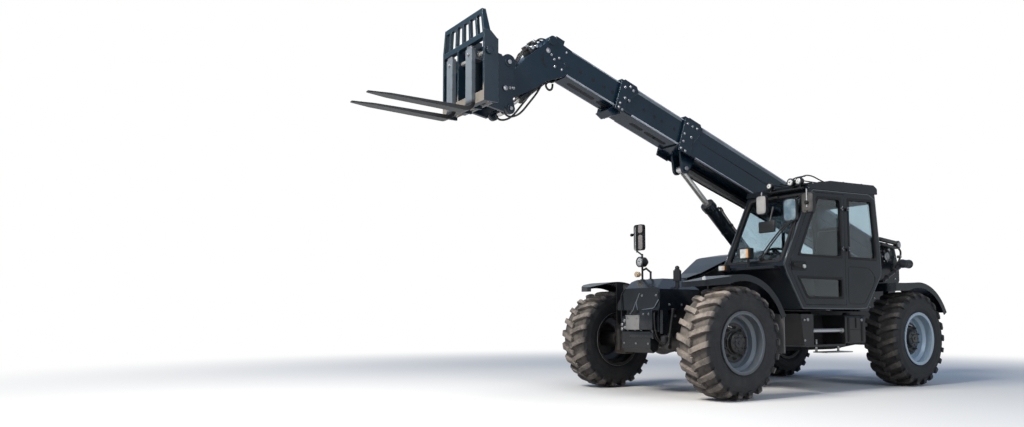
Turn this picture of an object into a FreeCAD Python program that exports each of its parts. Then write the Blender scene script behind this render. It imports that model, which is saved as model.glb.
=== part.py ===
import FreeCAD, Part
import math
import os

from FreeCAD import Vector

# Telescopic handler with pallet forks, in millimetres.
# +X points forward, +Y to the machine's left and +Z up. The origin lies on the ground, midway between
# the two axles. The machine stands on its four wheels with the boom raised and partly extended.

os.makedirs("parts", exist_ok=True)

# Driving dimensions of the undercarriage
WHEELBASE = 3460.0
TRACK = 2080.0
TYRE_RADIUS = 630.0
TYRE_WIDTH = 450.0
CARCASS_RADIUS = 588.0
RIM_SEAT_RADIUS = 322.0
RIM_FLANGE_RADIUS = 350.0
RIM_WIDTH = 420.0
DISC_OFFSET = 70.0
DISC_RADIUS = 208.0
HUB_CAP_RADIUS = 118.0
HUB_CAP_HEIGHT = 66.0
LUGS_PER_SIDE = 22
KINGPIN_OFFSET = 240.0
KINGPIN_Y = TRACK / 2 - KINGPIN_OFFSET
AXLE_TUBE_RADIUS = 95.0
HUB_RADIUS = 95.0
SPINDLE_RADIUS = 40.0
FENDER_RADIUS = 742.0
FENDER_WALL = 8.0
FENDER_INNER_Y = KINGPIN_Y
FENDER_OUTER_Y = TRACK / 2 + TYRE_WIDTH / 2 + 3
FENDER_LIP_RADIUS = 678.0
FENDER_KINK_ANGLE = 70.0
FLAP_WIDTH = 345.0
FLAP_DROP = 420.0
FLAP_THICKNESS = 10.0
FRONT_FENDER = {"tail": 157.0, "rise": 80.0, "nose_out": 480.0, "nose_top": 672.0, "nose_low": 612.0, "taper": 250.0}
REAR_FENDER = {"tail": 152.0, "rise": 80.0, "nose_out": 600.0, "nose_top": 730.0, "nose_low": 622.0, "taper": 60.0}

# Driving dimensions of the main frame
FRAME_HALF_WIDTH = 280.0
FRAME_PLATE = 30.0
FRAME_REAR_X = -2420.0
FRAME_FRONT_X = 1960.0
FRAME_TOP_Z = 1000.0
FRAME_ARCH_Z = 780.0
FRAME_BELLY_Z = 470.0
BELLY_REAR_X = -1350.0
BELLY_FRONT_X = 1260.0
TOWER_PLATE = 35.0
CAB_MOUNT_X = (-560.0, 330.0)
CAB_MOUNT_LENGTH = 110.0
CAB_MOUNT_REACH = 240.0

# Counterweight and drawbar jaw
COUNTERWEIGHT_REAR_X = -2860.0
HITCH_X = -2925.0
HITCH_LOW_Z = 520.0
HITCH_HIGH_Z = 640.0
HITCH_PLATE = 25.0
HITCH_BORE = 16.0

# Driving dimensions of the boom, along and across its own axis
PIVOT_X = -2620.0
PIVOT_Z = 1830.0
BOOM_ANGLE = 18.2
PIVOT_PIN_RADIUS = 45.0
OUTER_TAIL = -330.0
OUTER_FRONT = 4380.0
OUTER_HALF_HEIGHT = 219.0
OUTER_HALF_WIDTH = 190.0
OUTER_WALL = 12.0
OUTER_FLOOR_RISE = 47.0
MID_FRONT = 5440.0
MID_LENGTH = 3750.0
MID_HEIGHT = 350.0
MID_HALF_WIDTH = 160.0
MID_WALL = 10.0
MID_CENTRE_N = 20.0
INNER_FRONT = 6205.0
INNER_LENGTH = 3600.0
INNER_HEIGHT = 312.0
INNER_HALF_WIDTH = 130.0
INNER_WALL = 10.0
COLLAR_LENGTH = 200.0
MID_LOW = MID_CENTRE_N - MID_HEIGHT / 2
MID_HIGH = MID_CENTRE_N + MID_HEIGHT / 2
INNER_LOW = MID_CENTRE_N - INNER_HEIGHT / 2
INNER_HIGH = MID_CENTRE_N + INNER_HEIGHT / 2
NECK_HALF_WIDTH = 130.0
NECK_PLATE = 30.0
NECK_START_U = INNER_FRONT - 25
NECK_STEPS = (
    (0, 172), (220, 186), (310, 186), (380, 44), (538, -195), (669, -471), (785, -640), (795, -700),
    (710, -785), (620, -745), (505, -660), (344, -490), (196, -306), (0, -150),
)
NECK_BACK_STEPS = (
    (10, 172), (220, 186), (310, 186), (380, 44), (538, -195), (669, -471), (645, -480), (516, -208),
    (360, 35), (298, 166), (220, 166), (10, 152),
)

# Lift cylinder, from its foot between the frame plates to its eye under the boom
LIFT_FOOT_X = -1100.0
LIFT_FOOT_Z = 612.0
LIFT_EYE_SETBACK = 280.0
LIFT_EYE_U = OUTER_FRONT - LIFT_EYE_SETBACK
LIFT_EYE_N = -348.0
LIFT_BARREL_RADIUS = 79.0
LIFT_ROD_RADIUS = 37.5
LIFT_ROD_SHOWN = 620.0
LIFT_ROD_STROKE_IN = 530.0
LIFT_PIN_RADIUS = 30.0

# Fork carriage and its tilt pivot
TILT_U = INNER_FRONT + 685
TILT_N = -686.0
TILT_PIN_RADIUS = 28.0
TILT_FOOT_U = INNER_FRONT + 10
TILT_FOOT_N = -20.0
TILT_BARREL_RADIUS = 48.0
TILT_ROD_RADIUS = 26.0
TILT_ROD_SHOWN = 300.0
TILT_ROD_STROKE_IN = 235.0
CARRIAGE_FRONT_X = 4550.0
CARRIAGE_DEPTH = 170.0
CARRIAGE_WIDTH = 880.0
CARRIAGE_BOTTOM_Z = 3080.0
CARRIAGE_TOP_Z = 4040.0
COUPLER_BACK_X = CARRIAGE_FRONT_X - CARRIAGE_DEPTH
COUPLER_EYE_X = COUPLER_BACK_X - 310
COUPLER_EYE_Z = CARRIAGE_BOTTOM_Z + 40
COUPLER_TOP_X = COUPLER_BACK_X - 290
COUPLER_TOP_Z = COUPLER_EYE_Z + 500
CARRIAGE_PLATE = 25.0
GUARD_FOOT_Z = 3790.0
GUARD_LEAN = 45.0
GUARD_BARS = 5
FORK_TOP_Z = 3045.0
FORK_THICKNESS = 45.0
FORK_WIDTH = 125.0
FORK_LENGTH = 1100.0
FORK_Y = 205.0
FORK_SHAFT_RADIUS = 25.0
FORK_SHAFT_X = CARRIAGE_FRONT_X - 60
FORK_SHAFT_Z = 3600.0

# Cab
CAB_INNER_Y = 285.0
CAB_OUTER_Y = 1200.0
CAB_WALL = 45.0
CAB_PROFILE = ((635, 1010), (973, 1510), (458, 2455), (-880, 2497), (-980, 1660), (-980, 1455), (-634, 1010))
CAB_FLOOR_Z = 1010.0
DOOR_HINGE_X = -245.0
DOOR_HINGE_Y = 1216.0
HINGE_HEIGHTS = (1760.0, 2260.0)
SCREEN_LOW = (973, 1510)
SCREEN_HIGH = (458, 2455)
DOOR_OPENING = ((575, 1060), (880, 1515), (388, 2422), (-215, 2441), (-215, 1060))
DOOR_WINDOW = ((705, 1640), (308, 2372), (-150, 2386), (-150, 1640))
DOOR_LOWER_WINDOW = ((715, 1395), (575, 1180), (530, 1140), (-150, 1140), (-150, 1395))
QUARTER_WINDOW = ((-290, 1640), (-290, 2395), (-800, 2415), (-885, 1720), (-878, 1640))
SIDE_WINDOW = ((860, 1560), (400, 2400), (-800, 2420), (-880, 1660), (-880, 1560))
GLASS = 6.0

# Bonnet on the machine's right
BONNET_INNER_Y = -405.0
BONNET_OUTER_Y = -1150.0
BONNET_BOTTOM_Z = 1000.0
BONNET_WALL = 8.0
BONNET_REAR_X = -1000.0
BONNET_PROFILE = ((-1000, 1850), (-500, 1850), (-100, 1790), (270, 1650), (600, 1520), (890, 1440))
BONNET_TAPER_X = -100.0
BONNET_TAPER_Y = -640.0
BONNET_FRONT_X = 890.0
BONNET_HINGE_Z = 1860.0
BONNET_HINGE_Y = BONNET_INNER_Y + 14
BONNET_HINGE_X = (-900.0, -620.0)

# Front end, lamps and mirrors
NOSE_FRONT_X = 2105.0
NOSE_REAR_X = 1450.0
HOOD_PROFILE = ((-400.0, FRAME_TOP_Z), (-400.0, 1385.0), (80.0, 1385.0), (345.0, 1245.0), (345.0, FRAME_TOP_Z))
HOOD_SLOPE_START = (1790.0, 1386.0)
HOOD_SLOPE_END = (2105.0, 1262.0)
HOOD_CORNER = ((1850.0, -400.0, 1385.0), (2090.0, -250.0, 1268.0), (2105.0, -400.0, 1080.0))
AIR_POST = (1760.0, 290.0, 1240.0)
NOSE_MIRROR = (1740.0, -340.0, 1385.0)
LEDGE_TOP_Z = 1512.0
LEDGE_FRONT_X = 1060.0
HEAD_LAMPS = ((1150.0, 440.0, 1512.0, 125.0, 85.0), (1110.0, 755.0, 1672.0, 150.0, 135.0))
ROOF_FRONT = ((490.0, 2440.0), (470.0, 2510.0))
ROOF_RAIL_X = 520.0
ROOF_RAIL_Z = 2462.0
ROOF_LAMPS = ((690.0, 38.0), (1000.0, 44.0), (1118.0, 42.0))
REAR_LAMP_FOOT = (-2320.0, 1450.0)
REAR_LAMP_HEAD = (-2860.0, 1715.0)
TOWER_OUTER_Y = FRAME_HALF_WIDTH - FRAME_PLATE

# Clearances
FIT = 0.08
GAP = 0.3
RUN = 6.0


def box(x0, x1, y0, y1, z0, z1):
    """Block between two corners."""
    low = Vector(min(x0, x1), min(y0, y1), min(z0, z1))
    return Part.makeBox(abs(x1 - x0), abs(y1 - y0), abs(z1 - z0), low)


def rod(start, end, radius):
    """Round bar from one point to another."""
    start = Vector(*start)
    end = Vector(*end)
    return Part.makeCylinder(radius, (end - start).Length, start, end - start)


def tube(start, end, radius, bore):
    """Round tube from one point to another."""
    return rod(start, end, radius).cut(rod(start, end, bore))


def ring(centre, axis, radius, section_radius):
    """Round ring of an eight-sided section about an axis through its centre."""
    steps = [math.radians(45 * i + 22.5) for i in range(8)]
    points = [Vector(radius + section_radius * math.cos(a), 0, section_radius * math.sin(a)) for a in steps]
    shape = Part.Face(Part.makePolygon(points + [points[0]])).revolve(Vector(0, 0, 0), Vector(0, 0, 1), 360)
    shape.Placement = FreeCAD.Placement(Vector(*centre), FreeCAD.Rotation(Vector(0, 0, 1), Vector(*axis)))
    return shape


def plate_xz(points, y0, y1):
    """Plate with an outline in the XZ plane, between two Y values."""
    wire = Part.makePolygon([Vector(x, y0, z) for x, z in points] + [Vector(points[0][0], y0, points[0][1])])
    return Part.Face(wire).extrude(Vector(0, y1 - y0, 0))


def plate_yz(points, x0, x1):
    """Plate with an outline in the YZ plane, between two X values."""
    wire = Part.makePolygon([Vector(x0, y, z) for y, z in points] + [Vector(x0, points[0][0], points[0][1])])
    return Part.Face(wire).extrude(Vector(x1 - x0, 0, 0))


def plate_xy(points, z0, z1):
    """Plate with an outline in the XY plane, between two Z values."""
    wire = Part.makePolygon([Vector(x, y, z0) for x, y in points] + [Vector(points[0][0], points[0][1], z0)])
    return Part.Face(wire).extrude(Vector(0, 0, z1 - z0))


def strap(p, q, radius_p, radius_q, y0, y1):
    """Link plate with rounded ends about two XZ points, between two Y values."""
    px, pz = p
    qx, qz = q
    span = math.hypot(qx - px, qz - pz)
    lean = math.atan2(qz - pz, qx - px)
    spread = math.acos((radius_p - radius_q) / span)
    corners = [
        (px + radius_p * math.cos(lean + spread), pz + radius_p * math.sin(lean + spread)),
        (qx + radius_q * math.cos(lean + spread), qz + radius_q * math.sin(lean + spread)),
        (qx + radius_q * math.cos(lean - spread), qz + radius_q * math.sin(lean - spread)),
        (px + radius_p * math.cos(lean - spread), pz + radius_p * math.sin(lean - spread)),
    ]
    web = plate_xz(corners, y0, y1)
    ends = [rod((px, y0, pz), (px, y1, pz), radius_p), rod((qx, y0, qz), (qx, y1, qz), radius_q)]
    return web.multiFuse(ends).removeSplitter()


def fuse(shapes):
    """One solid from touching pieces, with its seams cleaned."""
    whole = shapes[0]
    if len(shapes) > 1:
        whole = shapes[0].multiFuse(shapes[1:])
    return whole.removeSplitter()


def mirror_y(shape):
    """The same piece on the machine's other side."""
    return shape.mirror(Vector(0, 0, 0), Vector(0, 1, 0))


def both_sides(shape):
    """A piece and its mirror image."""
    return [shape, mirror_y(shape)]


def save(name, shape):
    """Write one node, checked for closed solids."""
    if not shape.isValid():
        raise ValueError("invalid shape: " + name)
    if not shape.Solids:
        raise ValueError("no solid: " + name)
    shape.exportStep("parts/" + name + ".step")
    print(name, len(shape.Solids), "solid(s)", round(shape.Volume / 1e6, 2), "dm3")


def boom_point(u, n):
    """World X and Z of a point given along and across the boom."""
    lean = math.radians(BOOM_ANGLE)
    x = PIVOT_X + u * math.cos(lean) - n * math.sin(lean)
    z = PIVOT_Z + u * math.sin(lean) + n * math.cos(lean)
    return x, z


def to_boom(shape):
    """Turn a shape drawn along +X from the pivot into the boom's place."""
    placed = shape.copy()
    placed.rotate(Vector(0, 0, 0), Vector(0, 1, 0), -BOOM_ANGLE)
    placed.translate(Vector(PIVOT_X, 0, PIVOT_Z))
    return placed


def along(p, q, distance):
    """Point on the way from p to q in the XZ plane."""
    span = math.hypot(q[0] - p[0], q[1] - p[1])
    share = distance / span
    return p[0] + (q[0] - p[0]) * share, p[1] + (q[1] - p[1]) * share


LIFT_FOOT = (LIFT_FOOT_X, LIFT_FOOT_Z)
LIFT_EYE = boom_point(LIFT_EYE_U, LIFT_EYE_N)
TILT_PIVOT = boom_point(TILT_U, TILT_N)
TILT_FOOT = boom_point(TILT_FOOT_U, TILT_FOOT_N)
COUPLER_EYE = (COUPLER_EYE_X, COUPLER_EYE_Z)
COUPLER_TOP = (COUPLER_TOP_X, COUPLER_TOP_Z)


# Main frame


def frame_plate():
    """One long side plate, arched over both axles and deep between them."""
    arch = WHEELBASE / 2
    outline = [
        (FRAME_REAR_X, FRAME_ARCH_Z),
        (-arch + 260, FRAME_ARCH_Z),
        (-arch + 480, FRAME_BELLY_Z),
        (arch - 480, FRAME_BELLY_Z),
        (arch - 260, FRAME_ARCH_Z),
        (FRAME_FRONT_X, FRAME_ARCH_Z),
        (FRAME_FRONT_X, FRAME_TOP_Z - 60),
        (FRAME_FRONT_X - 160, FRAME_TOP_Z),
        (FRAME_REAR_X, FRAME_TOP_Z),
    ]
    return plate_xz(outline, FRAME_HALF_WIDTH - FRAME_PLATE, FRAME_HALF_WIDTH)


def chassis_frame():
    """Two side plates joined by cross members, with the lift cylinder's foot pin."""
    inner = FRAME_HALF_WIDTH - FRAME_PLATE
    pieces = both_sides(frame_plate())
    for x, z0, z1 in ((-1950, 800, 980), (-1480, 800, 980), (-620, 480, 640), (500, 480, 640), (1180, 480, 900)):
        pieces.append(box(x, x + 80, -inner, inner, z0, z1))
    pieces.append(box(BELLY_REAR_X, BELLY_FRONT_X, -inner, inner, FRAME_BELLY_Z, FRAME_BELLY_Z + 10))
    pieces.append(rod((LIFT_FOOT_X, -inner, LIFT_FOOT_Z), (LIFT_FOOT_X, inner, LIFT_FOOT_Z), LIFT_PIN_RADIUS))
    for side in (1, -1):
        pieces.append(rod((LIFT_FOOT_X, side * 95, LIFT_FOOT_Z), (LIFT_FOOT_X, side * inner, LIFT_FOOT_Z), 70))
    for x in CAB_MOUNT_X:
        pieces.append(box(x, x + CAB_MOUNT_LENGTH, FRAME_HALF_WIDTH, FRAME_HALF_WIDTH + CAB_MOUNT_REACH,
                          CAB_FLOOR_Z - 55, CAB_FLOOR_Z))
    return fuse(pieces)


def boom_tower():
    """Two tall plates at the tail that hold the boom's pivot pin."""
    inner = FRAME_HALF_WIDTH - FRAME_PLATE - TOWER_PLATE
    outline = [
        (FRAME_REAR_X + 5, FRAME_ARCH_Z + 10),
        (FRAME_REAR_X + 420, FRAME_ARCH_Z + 10),
        (FRAME_REAR_X + 460, FRAME_TOP_Z),
        (PIVOT_X + 440, PIVOT_Z - 330),
        (PIVOT_X + 180, PIVOT_Z + 130),
        (PIVOT_X - 80, PIVOT_Z + 215),
        (PIVOT_X - 280, PIVOT_Z + 130),
        (PIVOT_X - 380, PIVOT_Z - 190),
        (PIVOT_X - 380, PIVOT_Z - 350),
        (FRAME_REAR_X - 300, FRAME_TOP_Z + 80),
        (FRAME_REAR_X - 140, FRAME_TOP_Z),
        (FRAME_REAR_X + 5, FRAME_TOP_Z),
    ]
    plate = plate_xz(outline, inner, inner + TOWER_PLATE)
    boss = rod((PIVOT_X, inner, PIVOT_Z), (PIVOT_X, inner + TOWER_PLATE + 20, PIVOT_Z), 95)
    pin = rod((PIVOT_X, -inner - 70, PIVOT_Z), (PIVOT_X, inner + 70, PIVOT_Z), PIVOT_PIN_RADIUS)
    brace = box(-2460, -2400, -inner, inner, 1000, 1250)
    return fuse(both_sides(plate) + both_sides(boss) + [pin, brace])


def counterweight():
    """Cast block behind the rear axle, with a drawbar jaw of two bored plates."""
    rear = COUNTERWEIGHT_REAR_X
    front = FRAME_REAR_X
    outline = [(front, 500), (front, 990), (-2600, 990), (rear + 20, 940), (rear, 720), (rear, 500)]
    block = plate_xz(outline, -400, 400)
    rear_edges = [edge for edge in block.Edges if edge.BoundBox.YLength > 700 and edge.CenterOfMass.x < -2700]
    block = block.makeFillet(25, rear_edges)
    plates = []
    for z in (HITCH_LOW_Z, HITCH_HIGH_Z):
        plates.append(box(HITCH_X, rear + 10, -75, 75, z, z + HITCH_PLATE))
        plates.append(rod((HITCH_X, 0, z), (HITCH_X, 0, z + HITCH_PLATE), 75))
    low, high = HITCH_LOW_Z - 5, HITCH_HIGH_Z + HITCH_PLATE + 5
    return fuse([block] + plates).cut(rod((HITCH_X, 0, low), (HITCH_X, 0, high), HITCH_BORE))


# Axles, knuckles, wheels and fenders


def axle(x):
    """Axle beam with its gear housing in the middle and a yoke at each end."""
    z = TYRE_RADIUS
    tube_end = KINGPIN_Y - 120
    pieces = [rod((x, -tube_end, z), (x, tube_end, z), AXLE_TUBE_RADIUS)]
    ball = Part.makeSphere(170, Vector(x, 0, z))
    pieces.append(ball)
    for side in (1, -1):
        pieces.append(Part.makeCone(150, AXLE_TUBE_RADIUS, 260, Vector(x, side * 90, z), Vector(0, side, 0)))
        pieces.append(box(x - 65, x + 65, side * (tube_end - 60), side * (tube_end + 20), z - 185, z + 185))
        for low, high in ((z + 145, z + 185), (z - 185, z - 145)):
            arm = box(x - 65, x + 65, side * tube_end, side * KINGPIN_Y, low, high)
            eye = rod((x, side * KINGPIN_Y, low), (x, side * KINGPIN_Y, high), 65)
            pieces += [arm, eye]
        pieces.append(box(x - 120, x + 120, side * 215, side * 280, z + 60, FRAME_ARCH_Z))
    body = fuse(pieces)
    for side in (1, -1):
        body = body.cut(rod((x, side * KINGPIN_Y, z - 200), (x, side * KINGPIN_Y, z + 200), 25 + FIT))
    return body


def knuckle(x, side):
    """Steering knuckle with its kingpin, wheel spindle and the fender's arm."""
    z = TYRE_RADIUS
    wheel_y = TRACK / 2
    body = rod((x, side * KINGPIN_Y, z - 142), (x, side * KINGPIN_Y, z + 142), 62)
    pin = rod((x, side * KINGPIN_Y, z - 183), (x, side * KINGPIN_Y, z + 202), 25)
    hub = rod((x, side * KINGPIN_Y, z), (x, side * (wheel_y + DISC_OFFSET - 20), z), HUB_RADIUS)
    spindle = rod((x, side * KINGPIN_Y, z), (x, side * (wheel_y + DISC_OFFSET + 28), z), SPINDLE_RADIUS)
    foot = box(x - 55, x + 55, side * (KINGPIN_Y - 50), side * KINGPIN_Y, z + 190, z + 206)
    arm = box(x - 55, x + 55, side * (KINGPIN_Y - 14), side * KINGPIN_Y, z + 190, FENDER_RADIUS + z - 12)
    shelf = box(x - 55, x + 55, side * (KINGPIN_Y - 14), side * (KINGPIN_Y + 120),
                FENDER_RADIUS + z - 16, FENDER_RADIUS + z)
    under = rod((x, side * 600, z), (x, side * 1200, z), FENDER_RADIUS - GAP)
    return fuse([body, pin, hub, spindle, foot, arm, shelf.common(under)])


def fender_side(x, form, drop, y0, y1):
    """Side outline of a mudguard between its top line, lowered by a drop, and its lip, extruded across Y."""
    z = TYRE_RADIUS
    top_radius = FENDER_RADIUS + FENDER_WALL - drop
    low_radius = FENDER_LIP_RADIUS - 2 * drop
    tail, rise, kink = (math.radians(a) for a in (form["tail"], form["rise"], FENDER_KINK_ANGLE))

    def at(r, a):
        return Vector(x + r * math.cos(a), y0, z + r * math.sin(a))

    nose_x = x + form["nose_out"] - drop
    nose_top = Vector(nose_x, y0, z + form["nose_top"] - drop)
    nose_low = Vector(nose_x, y0, z + form["nose_low"] - 2 * drop)
    edges = [
        Part.Arc(at(top_radius, tail), at(top_radius, (tail + rise) / 2), at(top_radius, rise)).toShape(),
        Part.makeLine(at(top_radius, rise), nose_top),
        Part.makeLine(nose_top, nose_low),
        Part.makeLine(nose_low, at(low_radius, kink)),
        Part.Arc(at(low_radius, kink), at(low_radius, (tail + kink) / 2), at(low_radius, tail)).toShape(),
        Part.makeLine(at(low_radius, tail), at(top_radius, tail)),
    ]
    return Part.Face(Part.Wire(edges)).extrude(Vector(0, y1 - y0, 0))


def fender_plan(x, side, form, inwards):
    """Plan outline of a mudguard as a tall prism, with its outer front corner cut back."""
    inner = side * (FENDER_INNER_Y - 1)
    outer = side * (FENDER_OUTER_Y - inwards)
    front = x + form["nose_out"] - inwards
    taper = form["taper"]
    points = [(x - 900, inner), (front + inwards, inner), (front + inwards, outer - side * taper * 1.6),
              (front - taper * 0.25, outer - side * taper * 0.8), (front - taper, outer), (x - 900, outer)]
    if inwards:
        points[1] = (front, inner)
        points[2] = (front, outer - side * taper * 1.6)
    return plate_xy(points, TYRE_RADIUS, TYRE_RADIUS + 1000)


def fender(x, side, form):
    """Mudguard over one wheel: arched sheet, wing ahead of it and a turned-down outer lip."""
    y0, y1 = side * FENDER_INNER_Y, side * FENDER_OUTER_Y
    outer = fender_side(x, form, 0.0, y0, y1).common(fender_plan(x, side, form, 0.0))
    inner = fender_side(x, form, FENDER_WALL, y0 - side * 5, y1)
    tail = math.radians(form["tail"])
    reach = FENDER_RADIUS + 200
    opening = plate_xz([(x, TYRE_RADIUS), (x + reach * math.cos(tail - 0.1), TYRE_RADIUS + reach * math.sin(tail - 0.1)),
                        (x + reach * math.cos(tail + 0.4), TYRE_RADIUS + reach * math.sin(tail + 0.4))], y0, y1)
    arch = rod((x, y0 - side * 5, TYRE_RADIUS), (x, y1, TYRE_RADIUS), FENDER_RADIUS).common(opening)
    cavity = inner.fuse(arch).common(fender_plan(x, side, form, FENDER_WALL))
    return outer.cut(cavity)


def mud_flap(x, side, form):
    """Rubber flap that hangs from the inside of a mudguard's tail."""
    tail = math.radians(form["tail"])
    back_x = x + FENDER_RADIUS * math.cos(tail) + 4
    tail_z = TYRE_RADIUS + FENDER_RADIUS * math.sin(tail)
    outer = side * (FENDER_OUTER_Y - FENDER_WALL - 1)
    inner = side * (FENDER_OUTER_Y - FLAP_WIDTH)
    sheet = box(back_x, back_x + FLAP_THICKNESS, inner, outer, tail_z - FLAP_DROP, tail_z + 60)
    return sheet.common(rod((x, 0, TYRE_RADIUS), (x, 2 * outer, TYRE_RADIUS), FENDER_RADIUS))


def rim_profile():
    """Half section of the rim, as radius against distance from its middle plane."""
    half = RIM_WIDTH / 2
    wall = 9.0
    return [
        (-half, RIM_FLANGE_RADIUS), (-half + 12, RIM_FLANGE_RADIUS), (-half + 16, RIM_SEAT_RADIUS),
        (-120, RIM_SEAT_RADIUS), (-90, 288), (90, 288), (120, RIM_SEAT_RADIUS),
        (half - 16, RIM_SEAT_RADIUS), (half - 12, RIM_FLANGE_RADIUS), (half, RIM_FLANGE_RADIUS),
        (half, RIM_FLANGE_RADIUS - wall), (half - 4, RIM_SEAT_RADIUS - wall), (118, RIM_SEAT_RADIUS - wall),
        (88, 288 - wall), (-88, 288 - wall), (-118, RIM_SEAT_RADIUS - wall),
        (-half + 4, RIM_SEAT_RADIUS - wall), (-half, RIM_FLANGE_RADIUS - wall),
    ]


def spin(points, x, y, side):
    """Ring with a section given as (offset outwards, radius), about the wheel's axis."""
    z = TYRE_RADIUS
    world = [Vector(x, y + side * w, z + r) for w, r in points]
    face = Part.Face(Part.makePolygon(world + [world[0]]))
    return face.revolve(Vector(x, y, z), Vector(0, 1, 0), 360)


def rim(x, side):
    """Steel wheel: barrel, dished disc and hub cap."""
    y = side * TRACK / 2
    face, back = DISC_OFFSET, DISC_OFFSET - 14
    disc = [(back, SPINDLE_RADIUS + FIT), (back, DISC_RADIUS - 6), (12, 281), (30, 281), (face, DISC_RADIUS),
            (face, SPINDLE_RADIUS + FIT)]
    top = face + HUB_CAP_HEIGHT
    cap = [(face - 1, SPINDLE_RADIUS + FIT), (face - 1, HUB_CAP_RADIUS + 14), (face + 14, HUB_CAP_RADIUS + 10),
           (face + 20, HUB_CAP_RADIUS), (top - 10, HUB_CAP_RADIUS - 6), (top, HUB_CAP_RADIUS - 20), (top, 0),
           (face + 34, 0), (face + 34, SPINDLE_RADIUS + FIT)]
    return fuse([spin(rim_profile(), x, y, side), spin(disc, x, y, side), spin(cap, x, y, side)])


def tyre_section():
    """Section of the carcass, with bulged side walls and square shoulders."""
    half = TYRE_WIDTH / 2
    bead = RIM_SEAT_RADIUS + GAP
    seat = RIM_WIDTH / 2 - 17
    return [
        (-seat, bead), (-seat - 3, RIM_FLANGE_RADIUS + 4), (-half + 6, 405), (-half, 470), (-half + 8, 535),
        (-half + 38, 574), (0, CARCASS_RADIUS), (half - 38, 574), (half - 8, 535), (half, 470), (half - 6, 405),
        (seat + 3, RIM_FLANGE_RADIUS + 4), (seat, bead),
    ]


def tread_envelope():
    """Ring that the tread bars fill: a slightly crowned top that falls away over both shoulders."""
    half = TYRE_WIDTH / 2
    section = [(-half - 4, 520), (-half - 4, 560), (-half + 12, 600), (-half + 45, 618), (-60, TYRE_RADIUS),
               (60, TYRE_RADIUS), (half - 45, 618), (half - 12, 600), (half + 4, 560), (half + 4, 520)]
    points = [Vector(0, w, r) for w, r in section]
    return Part.Face(Part.makePolygon(points + [points[0]])).revolve(Vector(0, 0, 0), Vector(0, 1, 0), 360)


def lug(side_of_tread, envelope):
    """One curved tread bar on top of the tyre, running back from the crown and down over the shoulder."""
    s = side_of_tread
    reach = TYRE_WIDTH / 2 + 10
    outline = [(34, -s * 14), (-24, -s * 20), (-58, s * 60), (-92, s * 150), (-120, s * reach), (-56, s * reach),
               (-32, s * 150), (0, s * 60)]
    bar = plate_xy(outline, 524, TYRE_RADIUS + 20)
    return bar.common(envelope)


def tyre_at_origin():
    """Tyre about the Y axis with two rows of tread bars, half a pitch apart."""
    pitch = 360.0 / LUGS_PER_SIDE
    section = [Vector(0, w, r) for w, r in tyre_section()]
    carcass = Part.Face(Part.makePolygon(section + [section[0]])).revolve(Vector(0, 0, 0), Vector(0, 1, 0), 360)
    envelope = tread_envelope()
    bars = []
    for s, phase in ((1, 0.0), (-1, 0.5)):
        first = lug(s, envelope)
        for i in range(LUGS_PER_SIDE):
            bar = first.copy()
            bar.rotate(Vector(0, 0, 0), Vector(0, 1, 0), (i + phase) * pitch)
            bars.append(bar)
    return carcass.multiFuse(bars)


# Boom


def rect_tube(u0, u1, half_width, n0, n1, wall):
    """Box section along the boom with rounded long edges."""
    outer = box(u0, u1, -half_width, half_width, n0, n1)
    outer = outer.makeFillet(24, [edge for edge in outer.Edges if edge.BoundBox.XLength > 100])
    inner = box(u0 - 1, u1 + 1, -half_width + wall, half_width - wall, n0 + wall, n1 - wall)
    inner = inner.makeFillet(24 - wall, [edge for edge in inner.Edges if edge.BoundBox.XLength > 100])
    return outer.cut(inner)


def wear_pads(u0, u1, inside_half_width, inside_low, inside_high, half_width, low, high):
    """Four slide pads between two sections, one on each face."""
    pads = []
    for side in (1, -1):
        pads.append(box(u0, u1, side * (half_width + GAP), side * (inside_half_width + 2), low + 60, high - 60))
    pads.append(box(u0, u1, -half_width + 50, half_width - 50, high + GAP, inside_high + 2))
    pads.append(box(u0, u1, -half_width + 50, half_width - 50, inside_low - 2, low - GAP))
    return pads


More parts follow.
